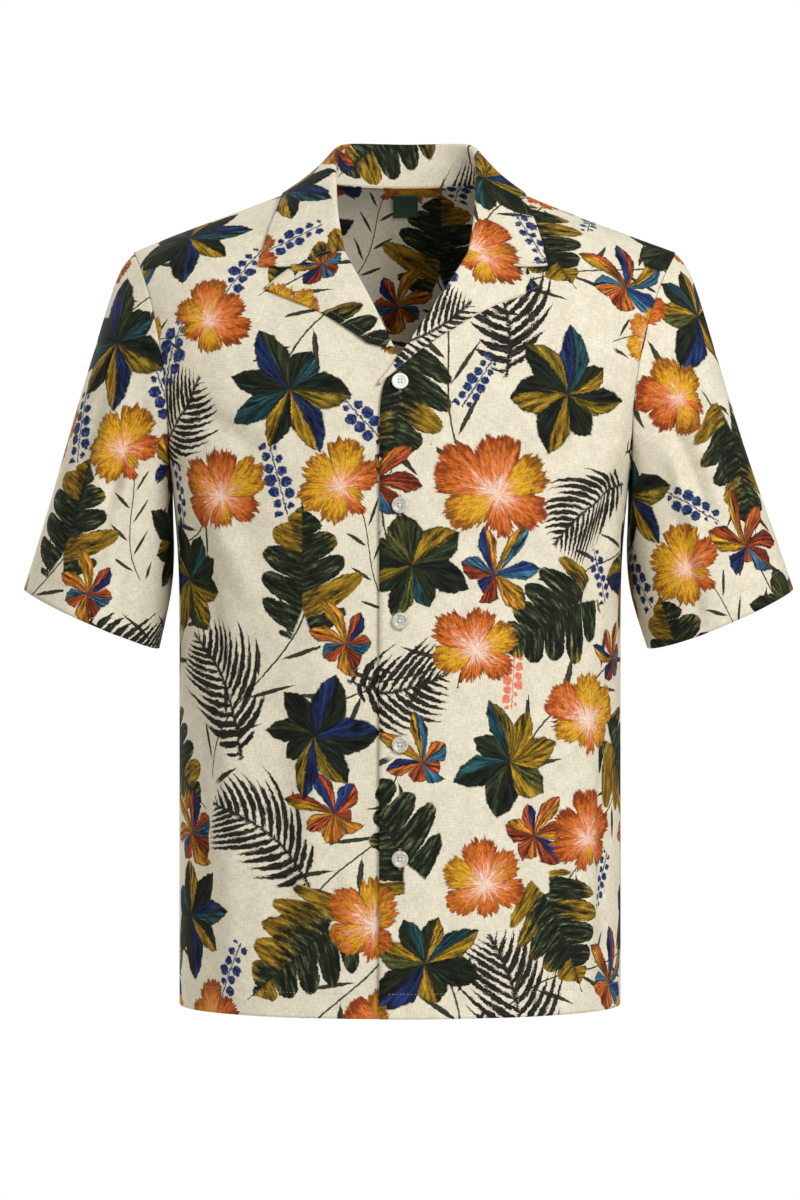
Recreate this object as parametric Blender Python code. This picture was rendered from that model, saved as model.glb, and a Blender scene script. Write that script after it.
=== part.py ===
"""Short-sleeved shirt with a camp collar, buttoned and filled out as if worn.

Every cut piece is its own closed wall of cloth. Metres, +Z up; the front faces -Y and the
wearer's left is +X. The origin is the middle of the neck's base, where the shirt hangs on
the wearer's shoulders.
"""
import math

import bmesh
import bpy
import numpy as np
from mathutils import Matrix, Vector
from mathutils.bvhtree import BVHTree

# ---------------------------------------------------------------- driving sizes
CLOTH = 0.0015            # thickness of one wall of cloth
DOUBLE_CLOTH = 0.0020     # collar and turned-back facing, two layers pressed together
SEAM_GAP = 0.0003         # clear space between pieces that are sewn together
HEM_THICK = 0.0026        # cloth turned up inside the hems
HEM_DEPTH = 0.022         # how far up the body hem is turned
SLEEVE_HEM_DEPTH = 0.025
HEM_STEP = 0.0008         # height of the step where the turned-up cloth ends

HEM_Z = -0.713            # bottom of the shirt below the neck base
UNDERARM_Z = -0.255
SHOULDER_X = 0.2355       # end of the shoulder seam, dropped past the shoulder bone
SHOULDER_Z = -0.0625
NECK_HALF_WIDTH = 0.075   # half the back neck at the seam
BACK_NECK_DROP = 0.015    # how far the back neck seam dips below the shoulder line
SHOULDER_LINE_Y = 0.015   # the shoulder line stands this far behind the side seams,
SHOULDER_LINE_RISE = 0.19 # which the middle plane leans back to over this height
YOKE_Z = -0.1245          # height of the straight seam under the yoke
BREAK_Z = -0.183          # where the roll of the facing leaves the front edge
FRONT_EXTENSION = 0.017   # cloth past the centre line that the buttons are sewn through
EDGE_EASE = 0.001         # the front edge eases in by this much just under the break
EDGE_EASE_OVER = 0.02
FAN_FROM_Z = -0.60        # above this height a front's level rows start to follow the shoulder,
FAN_OVER = 0.30           # fully so after this much more
LAP_OUT = 0.0016          # the buttoned front lies this far out of the body's surface
LAP_IN = 0.0014           # and the front under it this far in
LAP_FLAT = 0.020          # the lap is full to here from the centre line,
LAP_FADE = 0.050          # and fades out over this much more

ROLL_RADIUS = 0.0022      # roll of the turned-back facing
FOLD_RADIUS = 0.0030      # fold of the collar
LEAF_CLEAR = 0.0020       # middle of a leaf above the outer face of what it lies on
COLLAR_CLEAR = 0.0026     # the collar stands off a little more,
RIDGE_CLEAR = 0.0014      # and more again where it crosses the shoulder line

BUTTON_HEIGHTS = (-0.182, -0.2855, -0.382, -0.485, -0.580)
BUTTON_OFF_CLOTH = 0.0008

NECK_LEAN = 0.0065        # the neck opening sits a little towards the wearer's left,
NECK_LEAN_FROM = -0.165   # all that is above this height and within this far of the middle
NECK_LEAN_OVER = 0.10
NECK_LEAN_REACH = 0.13
SLEEVE_LEAN = 0.0040      # and both sleeves too,
SLEEVE_HEM_LEAN = 0.0034  # by this much more at their hems

# Level sections of the body: half width, front and back depth, and how square the oval is.
SECTIONS = {
    "z":     (-0.713, -0.560, -0.450, -0.370, -0.338, -0.310, -0.280, -0.255,
              -0.240, -0.220, -0.190, -0.150, -0.100, -0.060, 0.020),
    "width": (0.1905, 0.1905, 0.1905, 0.1905, 0.1908, 0.1930, 0.1955, 0.1990,
              0.2040, 0.2110, 0.2220, 0.2320, 0.2410, 0.2465, 0.2490),
    "front": (0.1400, 0.1385, 0.1350, 0.1315, 0.1300, 0.1290, 0.1280, 0.1270,
              0.1265, 0.1258, 0.1248, 0.1235, 0.1215, 0.1200, 0.1180),
    "back":  (0.1400, 0.1360, 0.1310, 0.1285, 0.1280, 0.1285, 0.1295, 0.1305,
              0.1310, 0.1318, 0.1328, 0.1340, 0.1350, 0.1355, 0.1360),
    "square": (2.20, 2.25, 2.30, 2.35, 2.38, 2.42, 2.46, 2.50,
               2.50, 2.50, 2.50, 2.50, 2.50, 2.50, 2.50),
}
# The shoulder line, by distance from the middle.
SHOULDER_LINE = {"x": (0.000, 0.040, 0.075, 0.100, 0.120, 0.170, 0.210, 0.2355, 0.260),
                 "z": (0.016, 0.012, 0.001, -0.0105, -0.0185, -0.0375, -0.0525, -0.0625, -0.0730)}
# How the chest and the back round off up to the shoulder line: reach of the rounding down
# from the line, and its power (0.5 is a quarter of an ellipse, more is flatter).
ROUND_OFF = {"x":           (0.000, 0.100, 0.180, 0.260),
             "front_reach": (0.220, 0.210, 0.150, 0.125),
             "front_power": (0.750, 0.720, 0.580, 0.540)}
BACK_ROUND_REACH = 0.160
BACK_ROUND_POWER = 0.50
# The armhole seam seen from the front.
ARMHOLE = {"z": (-0.255, -0.240, -0.220, -0.200, -0.186, -0.160, -0.120, -0.090, -0.0625),
           "x": (0.1990, 0.1985, 0.1980, 0.1985, 0.1998, 0.2035, 0.2125, 0.2225, 0.2355)}
# The inner edge of a front: front edge, roll line, then neck seam up to the shoulder.
FRONT_EDGE = {"z": (-0.183, -0.168, -0.153, -0.134, -0.113, -0.092, -0.071,
                    -0.051, -0.034, -0.020, -0.009, -0.0025, 0.001),
              "x": (-0.0160, -0.0030, 0.0075, 0.0185, 0.0300, 0.0430, 0.0545,
                    0.0630, 0.0685, 0.0720, 0.0740, 0.0748, 0.0750)}
GORGE_ROW = 6             # the row of FRONT_EDGE where collar and facing meet
ROLL_RADII = (0.0015, 0.0020, 0.0022, 0.0022, 0.0022, 0.0022, 0.0022)
# The outer edge of the turned-back facing, one point for each row of its roll line.
FACING_EDGE = {"x": (-0.0060, 0.0100, 0.0270, 0.0485, 0.0730, 0.0970, 0.1160),
               "z": (-0.1755, -0.1615, -0.1480, -0.1330, -0.1190, -0.1090, -0.1010)}
UNDER_FACING_FIRST_ROW = 2  # the facing under the lap only shows from this row up
NOTCH = (0.0950, -0.0830)   # x and z where the collar and the facing part
# The collar's fold and its outer edge, from the middle of the back (0) to its front end (1).
COLLAR_FOLD = {"k": (0.00, 0.17, 0.34, 0.50, 0.667, 0.833, 0.917, 1.00),
               "x": (0.0000, 0.0300, 0.0525, 0.0588, 0.0592, 0.0587, 0.0572, 0.0540),
               "y": (0.0860, 0.0810, 0.0610, 0.0250, -0.0080, -0.0335, -0.0480, -0.0640),
               "z": (0.0410, 0.0410, 0.0375, 0.0220, 0.0010, -0.0235, -0.0430, -0.0680)}
COLLAR_EDGE = {"k": (0.00, 0.17, 0.34, 0.50, 0.66, 0.83, 1.00),
               "x": (0.0000, 0.0450, 0.0830, 0.1015, 0.1080, 0.1165, 0.1240),
               "y": (0.1120, 0.1040, 0.0700, 0.0300, -0.0100, -0.0400, -0.0680),
               "z": (-0.0240, -0.0260, -0.0220, -0.0070, -0.0130, -0.0400, -0.0740)}
# Sleeve sections from the armhole (0) to the hem (1): outer and inner line and half depth.
SLEEVE = {"t":       (0.00, 0.10, 0.20, 0.36, 0.56, 0.78, 1.00),
          "outer_x": (0.2355, 0.2470, 0.2545, 0.2655, 0.2820, 0.3050, 0.3327),
          "outer_z": (-0.0625, -0.0770, -0.0980, -0.1370, -0.1930, -0.2690, -0.3540),
          "inner_x": (0.1990, 0.1990, 0.1985, 0.1975, 0.1965, 0.1990, 0.2110),
          "inner_z": (-0.2550, -0.2680, -0.2820, -0.3030, -0.3260, -0.3600, -0.4060),
          "front":   (0.0690, 0.0690, 0.0690, 0.0680, 0.0660, 0.0640, 0.0620),
          "back":    (0.0760, 0.0760, 0.0755, 0.0740, 0.0710, 0.0680, 0.0650)}
SLEEVE_LENGTH = 0.30      # along the outer line, from the shoulder to the hem
SLEEVE_ROWS = (0.0, 0.05, 0.10, 0.18, 0.27, 0.37, 0.48, 0.59, 0.70, 0.80)
SLEEVE_FRONT_DIP = 0.005  # the front of the sleeve hem hangs lower
ARMHOLE_FADE = 0.45       # the armhole's own outline is lost by this far down the sleeve

# The largest folds of the body: soft troughs from one (x, z) to another.
BODY_FOLDS = {
    "side":  ("front", "front", "front", "front", "front", "front",
              "back", "back", "back", "back", "back", "back"),
    "x0":    (-0.178, 0.180, -0.120, 0.128, -0.060, 0.074,
              -0.172, 0.170, -0.115, 0.105, -0.010, 0.055),
    "z0":    (-0.275, -0.270, -0.360, -0.400, -0.300, -0.420,
              -0.270, -0.275, -0.400, -0.360, -0.300, -0.480),
    "x1":    (-0.105, 0.112, -0.135, 0.138, -0.075, 0.062,
              -0.105, 0.100, -0.130, 0.125, 0.015, 0.070),
    "z1":    (-0.345, -0.330, -0.690, -0.680, -0.640, -0.700,
              -0.350, -0.340, -0.700, -0.690, -0.640, -0.710),
    "width": (0.016, 0.015, 0.022, 0.020, 0.026, 0.022,
              0.016, 0.017, 0.024, 0.022, 0.030, 0.022),
    "depth": (0.0045, 0.0040, 0.0050, 0.0045, 0.0030, 0.0030,
              0.0050, 0.0045, 0.0055, 0.0050, 0.0040, 0.0035),
}
# The largest folds of a sleeve: angle round it (0 at the top, 180 under the arm, front
# positive) and place down it.
SLEEVE_FOLDS = {
    "turn0": (150, 118, -140, -100, 60),
    "t0":    (0.10, 0.16, 0.12, 0.20, 0.30),
    "turn1": (112, 80, -100, -70, 44),
    "t1":    (0.50, 0.85, 0.55, 0.90, 0.95),
    "width": (12, 14, 14, 15, 16),
    "depth": (0.0060, 0.0050, 0.0060, 0.0050, 0.0030),
}
DEGREES_LONG = 150.0      # a sleeve is as long as this much of its way round
SLEEVE_FOLD_START = 0.12  # its folds are flat at the armhole and full this far down
FOLD_OVERRUN = 0.25       # a fold runs on past both ends by this share of its length,
FOLD_FADE = 0.35          # and fades over this share

FRONT, BACK = -1.0, 1.0
COLOURS = {"cloth": (0.80, 0.76, 0.66), "pearl": (0.86, 0.85, 0.82), "label": (0.02, 0.08, 0.05)}


# ---------------------------------------------------------------- curves and surfaces
def smooth(x):
    """Ease from 0 to 1 with level ends."""
    x = np.clip(x, 0.0, 1.0)
    return x * x * (3.0 - 2.0 * x)


def read(table, column, x, key="z"):
    """A smooth curve through one column of a table."""
    xs, ys = np.array(table[key], float), np.array(table[column], float)
    slopes = np.gradient(ys, xs)
    x = np.clip(x, xs[0], xs[-1])
    i = np.clip(np.searchsorted(xs, x, side="right") - 1, 0, len(xs) - 2)
    step = xs[i + 1] - xs[i]
    f = (x - xs[i]) / step
    return ((2 * f**3 - 3 * f**2 + 1) * ys[i] + (f**3 - 2 * f**2 + f) * step * slopes[i]
            + (3 * f**2 - 2 * f**3) * ys[i + 1] + (f**3 - f**2) * step * slopes[i + 1])


def shoulder_line(x):
    return read(SHOULDER_LINE, "z", np.abs(x), key="x")


def trough(folds, i, a, b, names):
    """One soft trough: deepest along its line, fading at its sides and both ends."""
    a0, b0, a1, b1 = (folds[name][i] for name in names)
    along_a, along_b = a1 - a0, b1 - b0
    length = math.hypot(along_a, along_b)
    along = ((a - a0) * along_a + (b - b0) * along_b) / length**2
    off = ((a - a0) * along_b - (b - b0) * along_a) / length
    ends = (smooth((along + FOLD_OVERRUN) / FOLD_FADE)
            * smooth((1.0 + FOLD_OVERRUN - along) / FOLD_FADE))
    return folds["depth"][i] * ends * np.exp(-(off / folds["width"][i])**2)


def oval(x, z):
    """Share of the body's full depth left at x, from 1 in the middle to 0 at the sides."""
    square = read(SECTIONS, "square", z)
    share = np.clip(np.abs(x) / read(SECTIONS, "width", z), 0.0, 1.0)
    return (1.0 - share**square)**(1.0 / square)


def body_depth(x, z, side):
    """Depth of the surface at x and z, before the oval takes it in towards the sides."""
    if side == FRONT:
        reach = read(ROUND_OFF, "front_reach", np.abs(x), key="x")
        power = read(ROUND_OFF, "front_power", np.abs(x), key="x")
        depth = read(SECTIONS, "front", z)
    else:
        reach, power, depth = BACK_ROUND_REACH, BACK_ROUND_POWER, read(SECTIONS, "back", z)
    down = np.clip((shoulder_line(x) - z) / reach, 0.0, 1.0)
    for i, fold_side in enumerate(BODY_FOLDS["side"]):
        if fold_side == ("front" if side == FRONT else "back"):
            depth = depth - trough(BODY_FOLDS, i, x, z, ("x0", "z0", "x1", "z1"))
    return depth * (1.0 - (1.0 - down)**2)**power


def body_middle(z):
    """The body's middle plane, which leans back towards the shoulder line."""
    return SHOULDER_LINE_Y * smooth((z - UNDERARM_Z) / SHOULDER_LINE_RISE)


def body_y(x, z, side):
    """Depth of the body's surface at x and z, on the front or the back."""
    return body_middle(z) + side * body_depth(x, z, side) * oval(x, z)


RIDGE_HEIGHT = 0.004      # the last of the body under the shoulder line, which has no depth
LEAST_DEPTH = 1e-4
SLOPE_STEP = 2e-5         # step over which the oval's slope is taken


def body_normals(points, side, fallback):
    """Normals of the oval itself, true also at the sides, where the grid is steep.

    At the shoulder line the oval has no depth, so the grid's own normals are kept there.
    """
    x, y, z = points[..., 0], points[..., 1], points[..., 2]
    flat = (shoulder_line(x) - z) < RIDGE_HEIGHT

    def inside(px, py, pz):
        square = read(SECTIONS, "square", pz)
        depth = np.maximum(body_depth(px, pz, side), LEAST_DEPTH)
        return (np.abs(px / read(SECTIONS, "width", pz))**square
                + np.abs((py - body_middle(pz)) / depth)**square)

    d = SLOPE_STEP
    slope = np.stack([inside(x + d, y, z) - inside(x - d, y, z),
                      inside(x, y + d, z) - inside(x, y - d, z),
                      inside(x, y, z + d) - inside(x, y, z - d)], axis=-1)
    return np.where(flat[..., None], fallback, unit(slope))


def turn_of(x, z):
    """Angle round the oval section: 0 in the middle, a quarter turn at the side seam."""
    share = np.clip(np.abs(x) / read(SECTIONS, "width", z), 0.0, 1.0)
    return np.sign(x) * np.arcsin(share**(read(SECTIONS, "square", z) / 2.0))


def x_of(turn, z):
    return (np.sign(turn) * np.abs(np.sin(turn))**(2.0 / read(SECTIONS, "square", z))
            * read(SECTIONS, "width", z))


def unit(v):
    return v / np.maximum(np.linalg.norm(v, axis=-1, keepdims=True), 1e-12)


def grid_normals(points, wraps=False):
    """Normals of a grid of points, from the steps along its rows and columns."""
    if wraps:
        ring = np.concatenate([points[:, -2:-1], points, points[:, 1:2]], axis=1)
        along = np.gradient(ring, axis=1)[:, 1:-1]
    else:
        along = np.gradient(points, axis=1)
    return unit(np.cross(along, np.gradient(points, axis=0)))


# ---------------------------------------------------------------- panels as grids of points
class Panel:
    """The middle surface of one cut piece: a grid of points with their normals.

    outer and inner are the wall's thickness on either side of each point, and pull is how far
    a sewn edge draws back from its seam. A piece that wraps has its last column on its first.
    """

    def __init__(self, name, points, wraps=False, half=CLOTH / 2, flip=False):
        self.name, self.points, self.wraps = name, points, wraps
        self.normals = grid_normals(points, wraps) * (-1.0 if flip else 1.0)
        self.pull = np.zeros_like(points)
        self.inner = np.full(points.shape[:2], half)
        self.outer = np.full(points.shape[:2], half)


LEVEL_COUNT = 12          # level rows from the hem's top to the underarm
FRONT_COLUMNS = 12        # steps across a front
NECK_COLUMNS = 12         # steps of the back and the yoke across the neck,
SHOULDER_COLUMNS = 6      # and along each shoulder
YOKE_ROWS = 5
BACK_FAN = 8              # rows of the back beside the armhole
ARMHOLE_SPREAD = 0.82     # keeps the rows next to the underarm from crowding
ROW_ROUNDS = 12           # times that a row's heights are settled with their places across


def body_rows():
    """Heights of the level rows below the underarm, with a step at the top of the hem."""
    hem = [HEM_Z, HEM_Z + HEM_DEPTH, HEM_Z + HEM_DEPTH + HEM_STEP]
    rise = (UNDERARM_Z - hem[-1]) / LEVEL_COUNT
    return hem + [hem[-1] + rise * (i + 1) for i in range(LEVEL_COUNT)]


LEVEL_ROWS = body_rows()
FAN_EDGE_Z = [UNDERARM_Z, (UNDERARM_Z + BREAK_Z) / 2] + list(FRONT_EDGE["z"])
FAN_COUNT = len(FAN_EDGE_Z) - 1


def armhole_front_z(i):
    """Heights round the front of the armhole, closer together at both ends."""
    turn = math.pi * (i / FAN_COUNT)**ARMHOLE_SPREAD
    return UNDERARM_Z + (SHOULDER_Z - UNDERARM_Z) * (1 - math.cos(turn)) / 2


def armhole_back_z(i):
    """Heights round the back of the armhole, up to the yoke's seam."""
    turn = math.pi / 2 * (i / BACK_FAN)**ARMHOLE_SPREAD
    return UNDERARM_Z + (YOKE_Z - UNDERARM_Z) * (1 - math.cos(turn))


def edge_x(z):
    """The inner edge of a front at height z, in its own side's direction."""
    ease = EDGE_EASE * smooth((z - BREAK_Z + EDGE_EASE_OVER) / EDGE_EASE_OVER)
    return np.where(z <= BREAK_Z, ease - FRONT_EXTENSION, read(FRONT_EDGE, "x", z))


def front_points(lap):
    """One front on the +X side, from its edge to the side seam and armhole."""
    rows = []
    heights = [(z, z) for z in LEVEL_ROWS[:-1]]
    heights += [(FAN_EDGE_Z[i], armhole_front_z(i)) for i in range(FAN_COUNT + 1)]
    u = np.linspace(0.0, 1.0, FRONT_COLUMNS + 1)
    for z_edge, z_side in heights:
        x_edge = float(edge_x(z_edge))
        if z_side <= UNDERARM_Z:
            x_side = float(read(SECTIONS, "width", z_side))
        else:
            x_side = float(read(ARMHOLE, "x", z_side))
        turn = turn_of(x_edge, z_edge) + u * (turn_of(x_side, z_side) - turn_of(x_edge, z_edge))
        down_edge = max(0.0, float(shoulder_line(x_edge)) - z_edge)
        down_side = max(0.0, float(shoulder_line(x_side)) - z_side)
        down = (math.sqrt(down_edge) * (1 - u) + math.sqrt(down_side) * u)**2
        fan = float(smooth((z_edge - FAN_FROM_Z) / FAN_OVER))
        level = z_edge + (z_side - z_edge) * u
        z = level.copy()
        for _ in range(ROW_ROUNDS):
            x = x_of(turn, z)
            z = (1 - fan) * level + fan * (shoulder_line(x) - down)
        x[0], x[-1], z[0], z[-1] = x_edge, x_side, z_edge, z_side
        y = body_y(x, z, FRONT)
        y = y + lap * (1 - smooth((np.abs(x) - LAP_FLAT) / LAP_FADE))
        rows.append(np.stack([x, y, z], axis=-1))
    return np.array(rows)


SEAM_SPREAD = 1.12        # the yoke's neck columns stand this much wider apart at its seam


def yoke_columns():
    """x of each column at the yoke's top edge and at its seam, the dip of the neck, and how
    far out along the shoulder each column is."""
    neck_turn = np.linspace(-math.pi / 2, math.pi / 2, NECK_COLUMNS + 1)
    shoulder = np.linspace(0.0, 1.0, SHOULDER_COLUMNS + 1)[1:]
    seam_side = float(read(ARMHOLE, "x", YOKE_Z))
    seam_neck = NECK_HALF_WIDTH * SEAM_SPREAD
    out_top = NECK_HALF_WIDTH + shoulder * (SHOULDER_X - NECK_HALF_WIDTH)
    out_seam = seam_neck + shoulder * (seam_side - seam_neck)
    top = np.concatenate([-out_top[::-1], NECK_HALF_WIDTH * np.sin(neck_turn), out_top])
    seam = np.concatenate([-out_seam[::-1], np.linspace(-seam_neck, seam_neck, NECK_COLUMNS + 1),
                           out_seam])
    none = np.zeros(SHOULDER_COLUMNS)
    dip = np.concatenate([none, BACK_NECK_DROP * np.cos(neck_turn)**2, none])
    outward = np.concatenate([shoulder[::-1], np.zeros(NECK_COLUMNS + 1), shoulder])
    return top, seam, dip, outward


def round_angle(down):
    """Angle of the back's rounding at a drop below the shoulder line."""
    return np.arccos(np.clip(1.0 - down / BACK_ROUND_REACH, -1.0, 1.0))


def yoke_points():
    """The yoke, from its straight seam up over the back to the neck and shoulder seams."""
    top, seam, dip, outward = yoke_columns()
    angle_top = round_angle(dip)
    angle_seam = round_angle(shoulder_line(seam) - YOKE_Z)
    rows = []
    for i in range(YOKE_ROWS + 1):
        z_side = YOKE_Z + (SHOULDER_Z - YOKE_Z) * math.sin(math.pi * i / (2 * YOKE_ROWS))
        x_side = float(read(ARMHOLE, "x", z_side))
        down_side = max(0.0, float(shoulder_line(x_side)) - z_side)
        share = float(round_angle(down_side) / angle_seam[-1])
        angle = angle_top + share * (angle_seam - angle_top)
        x = top + share * (seam - top)
        x = x + np.sign(x) * (x_side - abs(x[-1])) * outward**2
        z = shoulder_line(x) - BACK_ROUND_REACH * (1.0 - np.cos(angle))
        rows.append(np.stack([x, body_y(x, z, BACK), z], axis=-1))
    return np.array(rows)


def back_points():
    """The back, from the hem up to the yoke's seam."""
    _, seam, _, _ = yoke_columns()
    share = turn_of(seam, YOKE_Z) / turn_of(seam[-1], YOKE_Z)
    heights = LEVEL_ROWS[:-1] + [armhole_back_z(i) for i in range(BACK_FAN + 1)]
    rows = []
    for z_row in heights:
        if z_row <= UNDERARM_Z:
            x_side = float(read(SECTIONS, "width", z_row))
        else:
            x_side = float(read(ARMHOLE, "x", z_row))
        z = np.full(len(seam), z_row)
        x = x_of(share * turn_of(x_side, z_row), z)
        rows.append(np.stack([x, body_y(x, z, BACK), z], axis=-1))
    return np.array(rows)


def sleeve_points(armhole):
    """A sleeve on the +X side: rings from the armhole's own points down to the hem."""
    count = len(armhole) - 1
    steps = np.linalg.norm(np.diff(armhole, axis=0), axis=1)
    under = int(np.argmin(armhole[:, 2]))
    front = np.concatenate([[0.0], np.cumsum(steps[:under])])
    back = np.concatenate([[0.0], np.cumsum(steps[under:])])
    turn = np.concatenate([math.pi * front / front[-1],
                           math.pi * (1 + back[1:] / back[-1])])
    hem = 1.0 - SLEEVE_HEM_DEPTH / SLEEVE_LENGTH
    rows = []
    for t in (*SLEEVE_ROWS, hem - HEM_STEP / SLEEVE_LENGTH, hem, 1.0):
        outer = np.array([read(SLEEVE, "outer_x", t, "t"), 0.0, read(SLEEVE, "outer_z", t, "t")])
        inner = np.array([read(SLEEVE, "inner_x", t, "t"), 0.0, read(SLEEVE, "inner_z", t, "t")])
        middle, half = (outer + inner) / 2, (outer - inner) / 2
        lean = SHOULDER_LINE_Y * 0.5 * (1 - t)
        depth = np.where(turn <= math.pi, read(SLEEVE, "front", t, "t"),
                         read(SLEEVE, "back", t, "t"))
        signed = np.degrees(np.where(turn <= math.pi, turn, turn - 2 * math.pi))
        ring = middle + np.cos(turn)[:, None] * half
        ring[:, 1] = lean - np.sin(turn) * depth
        ring[:, 2] -= SLEEVE_FRONT_DIP * t * np.sin(turn)
        if t == 0.0:
            shape = armhole - ring
        ring = ring + shape * (1 - smooth(t / ARMHOLE_FADE))
        outward = unit(ring - middle)
        for i in range(len(SLEEVE_FOLDS["t0"])):
            sink = trough_on_sleeve(i, signed, t)
            ring = ring - outward * sink[:, None]
        ring[count] = ring[0]
        rows.append(ring)
    return np.array(rows)


def trough_on_sleeve(i, signed, t):
    """A sleeve's trough, with its place down the sleeve counted in the same degrees."""
    scaled = {name: list(values) for name, values in SLEEVE_FOLDS.items()}
    scaled["t0"][i] *= DEGREES_LONG
    scaled["t1"][i] *= DEGREES_LONG
    sink = trough(scaled, i, signed, t * DEGREES_LONG, ("turn0", "t0", "turn1", "t1"))
    return sink * float(smooth(t / SLEEVE_FOLD_START))


# ---------------------------------------------------------------- seams
def share_normal(first, *others):
    """Give a point that several pieces share one normal between theirs, so their walls meet."""
    rest = unit(sum(panel.normals[row, column] for panel, row, column in others))
    joint = unit(first[0].normals[first[1], first[2]] + rest)
    for panel, row, column in (first, *others):
        panel.normals[row, column] = joint


def pull_edge(panel, index, towards):
    """Move a sewn edge back from the seam by half the gap, along the cloth."""
    step = panel.points[towards] - panel.points[index]
    normal = panel.normals[index]
    step = step - normal * np.sum(step * normal, axis=-1, keepdims=True)
    panel.pull[index] += unit(step) * SEAM_GAP / 2


def pull_sideways(panel, index, direction):
    """Move an armhole edge along the shoulder's direction, away from the other piece."""
    normal = panel.normals[index]
    axis = np.array([direction, 0.0, 0.0]) - normal * (normal[..., :1] * direction)
    panel.pull[index] += unit(axis) * SEAM_GAP / 2


# ---------------------------------------------------------------- walls
SHARP_ANGLE = math.radians(40)
MERGE = 1e-6              # points closer than this are one


def material(name, roughness):
    """A plain finish in one of the shirt's colours."""
    mat = bpy.data.materials.get(name) or bpy.data.materials.new(name)
    mat.use_nodes = True
    shader = mat.node_tree.nodes["Principled BSDF"]
    shader.inputs["Base Color"].default_value = (*COLOURS[name], 1.0)
    shader.inputs["Roughness"].default_value = roughness
    shader.inputs["Metallic"].default_value = 0.0
    return mat


ARM_FROM_X, ARM_OVER = 0.19, 0.05           # where the sleeves' lean comes in from the body
LOWER_ARM_Z, LOWER_ARM_OVER = -0.20, 0.15   # and where the hems' own lean does


def settle(points):
    """The small lean of the neck and sleeves towards the wearer's left."""
    x, z = points[..., 0], points[..., 2]
    high = smooth((z - NECK_LEAN_FROM) / NECK_LEAN_OVER)
    neck = NECK_LEAN * high * np.exp(-(x / NECK_LEAN_REACH)**2)
    arm = smooth((np.abs(x) - ARM_FROM_X) / ARM_OVER)
    sleeve = arm * (SLEEVE_LEAN + SLEEVE_HEM_LEAN * smooth((LOWER_ARM_Z - z) / LOWER_ARM_OVER))
    moved = points.copy()
    moved[..., 0] = x + neck + sleeve
    return moved


def add_object(name, bm, finish, roughness):
    """One named solid from a finished bmesh."""
    bmesh.ops.recalc_face_normals(bm, faces=bm.faces[:])
    mesh = bpy.data.meshes.new(name)
    bm.to_mesh(mesh)
    bm.free()
    mesh.materials.append(material(finish, roughness))
    mesh.shade_smooth()
    mesh.set_sharp_from_angle(angle=SHARP_ANGLE)
    obj = bpy.data.objects.new(name, mesh)
    bpy.context.scene.collection.objects.link(obj)
    return obj


def wall_faces(panel):
    """The outer and inner layers of a panel's wall, after the lean."""
    middle = panel.points + panel.pull
    outer = settle(middle + panel.normals * panel.outer[..., None])
    inner = settle(middle - panel.normals * panel.inner[..., None])
    return outer, inner


def build_wall(panel, finish="cloth", roughness=0.85):
    """A closed wall: a grid laid on the outer points, extruded to the inner ones."""
    outer, inner = wall_faces(panel)
    rows, columns = panel.points.shape[:2]
    bm = bmesh.new()
    bmesh.ops.create_grid(bm, x_segments=columns - 1, y_segments=rows - 1, size=1.0)
    bm.verts.ensure_lookup_table()
    cell = bm.verts.layers.int.new("cell")
    for index, vert in enumerate(bm.verts):
        vert[cell] = index
    made = bmesh.ops.extrude_face_region(bm, geom=bm.faces[:])["geom"]
    second = {v for v in made if isinstance(v, bmesh.types.BMVert)}
    for vert in bm.verts:
        row, column = divmod(vert[cell], columns)
        vert.co = Vector((inner if vert in second else outer)[row, column])
    if panel.wraps:
        inside_faces = [f for f in bm.faces if wrap_face(f, cell, columns)]
        bmesh.ops.delete(bm, geom=inside_faces, context="FACES")
        bmesh.ops.remove_doubles(bm, verts=bm.verts[:], dist=MERGE)
    return add_object(panel.name, bm, finish, roughness)


def wrap_face(face, cell, columns):
    """Whether a face closes the grid's first or last column, which a ring doesn't need."""
    ends = {vert[cell] % columns for vert in face.verts}
    rows = {vert[cell] // columns for vert in face.verts}
    return len(ends) == 1 and ends <= {0, columns - 1} and len(rows) == 2


def mirrored(points):
    return points * np.array([-1.0, 1.0, 1.0])


# ---------------------------------------------------------------- body panels
for old in list(bpy.data.objects):
    bpy.data.objects.remove(old, do_unlink=True)

front_left = Panel("front_left", front_points(-LAP_OUT))
front_right = Panel("front_right", mirrored(front_points(LAP_IN)), flip=True)
back = Panel("back", back_points(), flip=True)
yoke = Panel("yoke", yoke_points(), flip=True)
for panel, side in ((front_left, FRONT), (front_right, FRONT), (back, BACK), (yoke, BACK)):
    panel.normals = body_normals(panel.points, side, panel.normals)

LEVEL = len(LEVEL_ROWS) - 1           # the row of the underarm
SPAN_UP = slice(LEVEL, None)          # rows beside the armhole
for panel in (front_left, front_right, back):
    panel.inner[0:2, :] = HEM_THICK - CLOTH / 2


def armhole_ring(front, left_side):
    """Points, and where they are on each piece, from the shoulder by the front to the back."""
    column = -1 if left_side else 0
    front_part = front.points[SPAN_UP, -1][::-1]
    back_part = back.points[SPAN_UP, column]
    yoke_part = yoke.points[:, column]
    return np.concatenate([front_part, back_part[1:], yoke_part[1:]])


def make_sleeve(name, front, left_side):
    """A sleeve that starts from the armhole's own points."""
    ring = armhole_ring(front, left_side)
    points = sleeve_points(ring if left_side else mirrored(ring))
    panel = Panel(name, points if left_side else mirrored(points), wraps=True, flip=not left_side)
    panel.inner[-2:, :] = HEM_THICK - CLOTH / 2
    return panel


sleeve_left = make_sleeve("sleeve_left", front_left, True)
sleeve_right = make_sleeve("sleeve_right", front_right, False)


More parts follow.
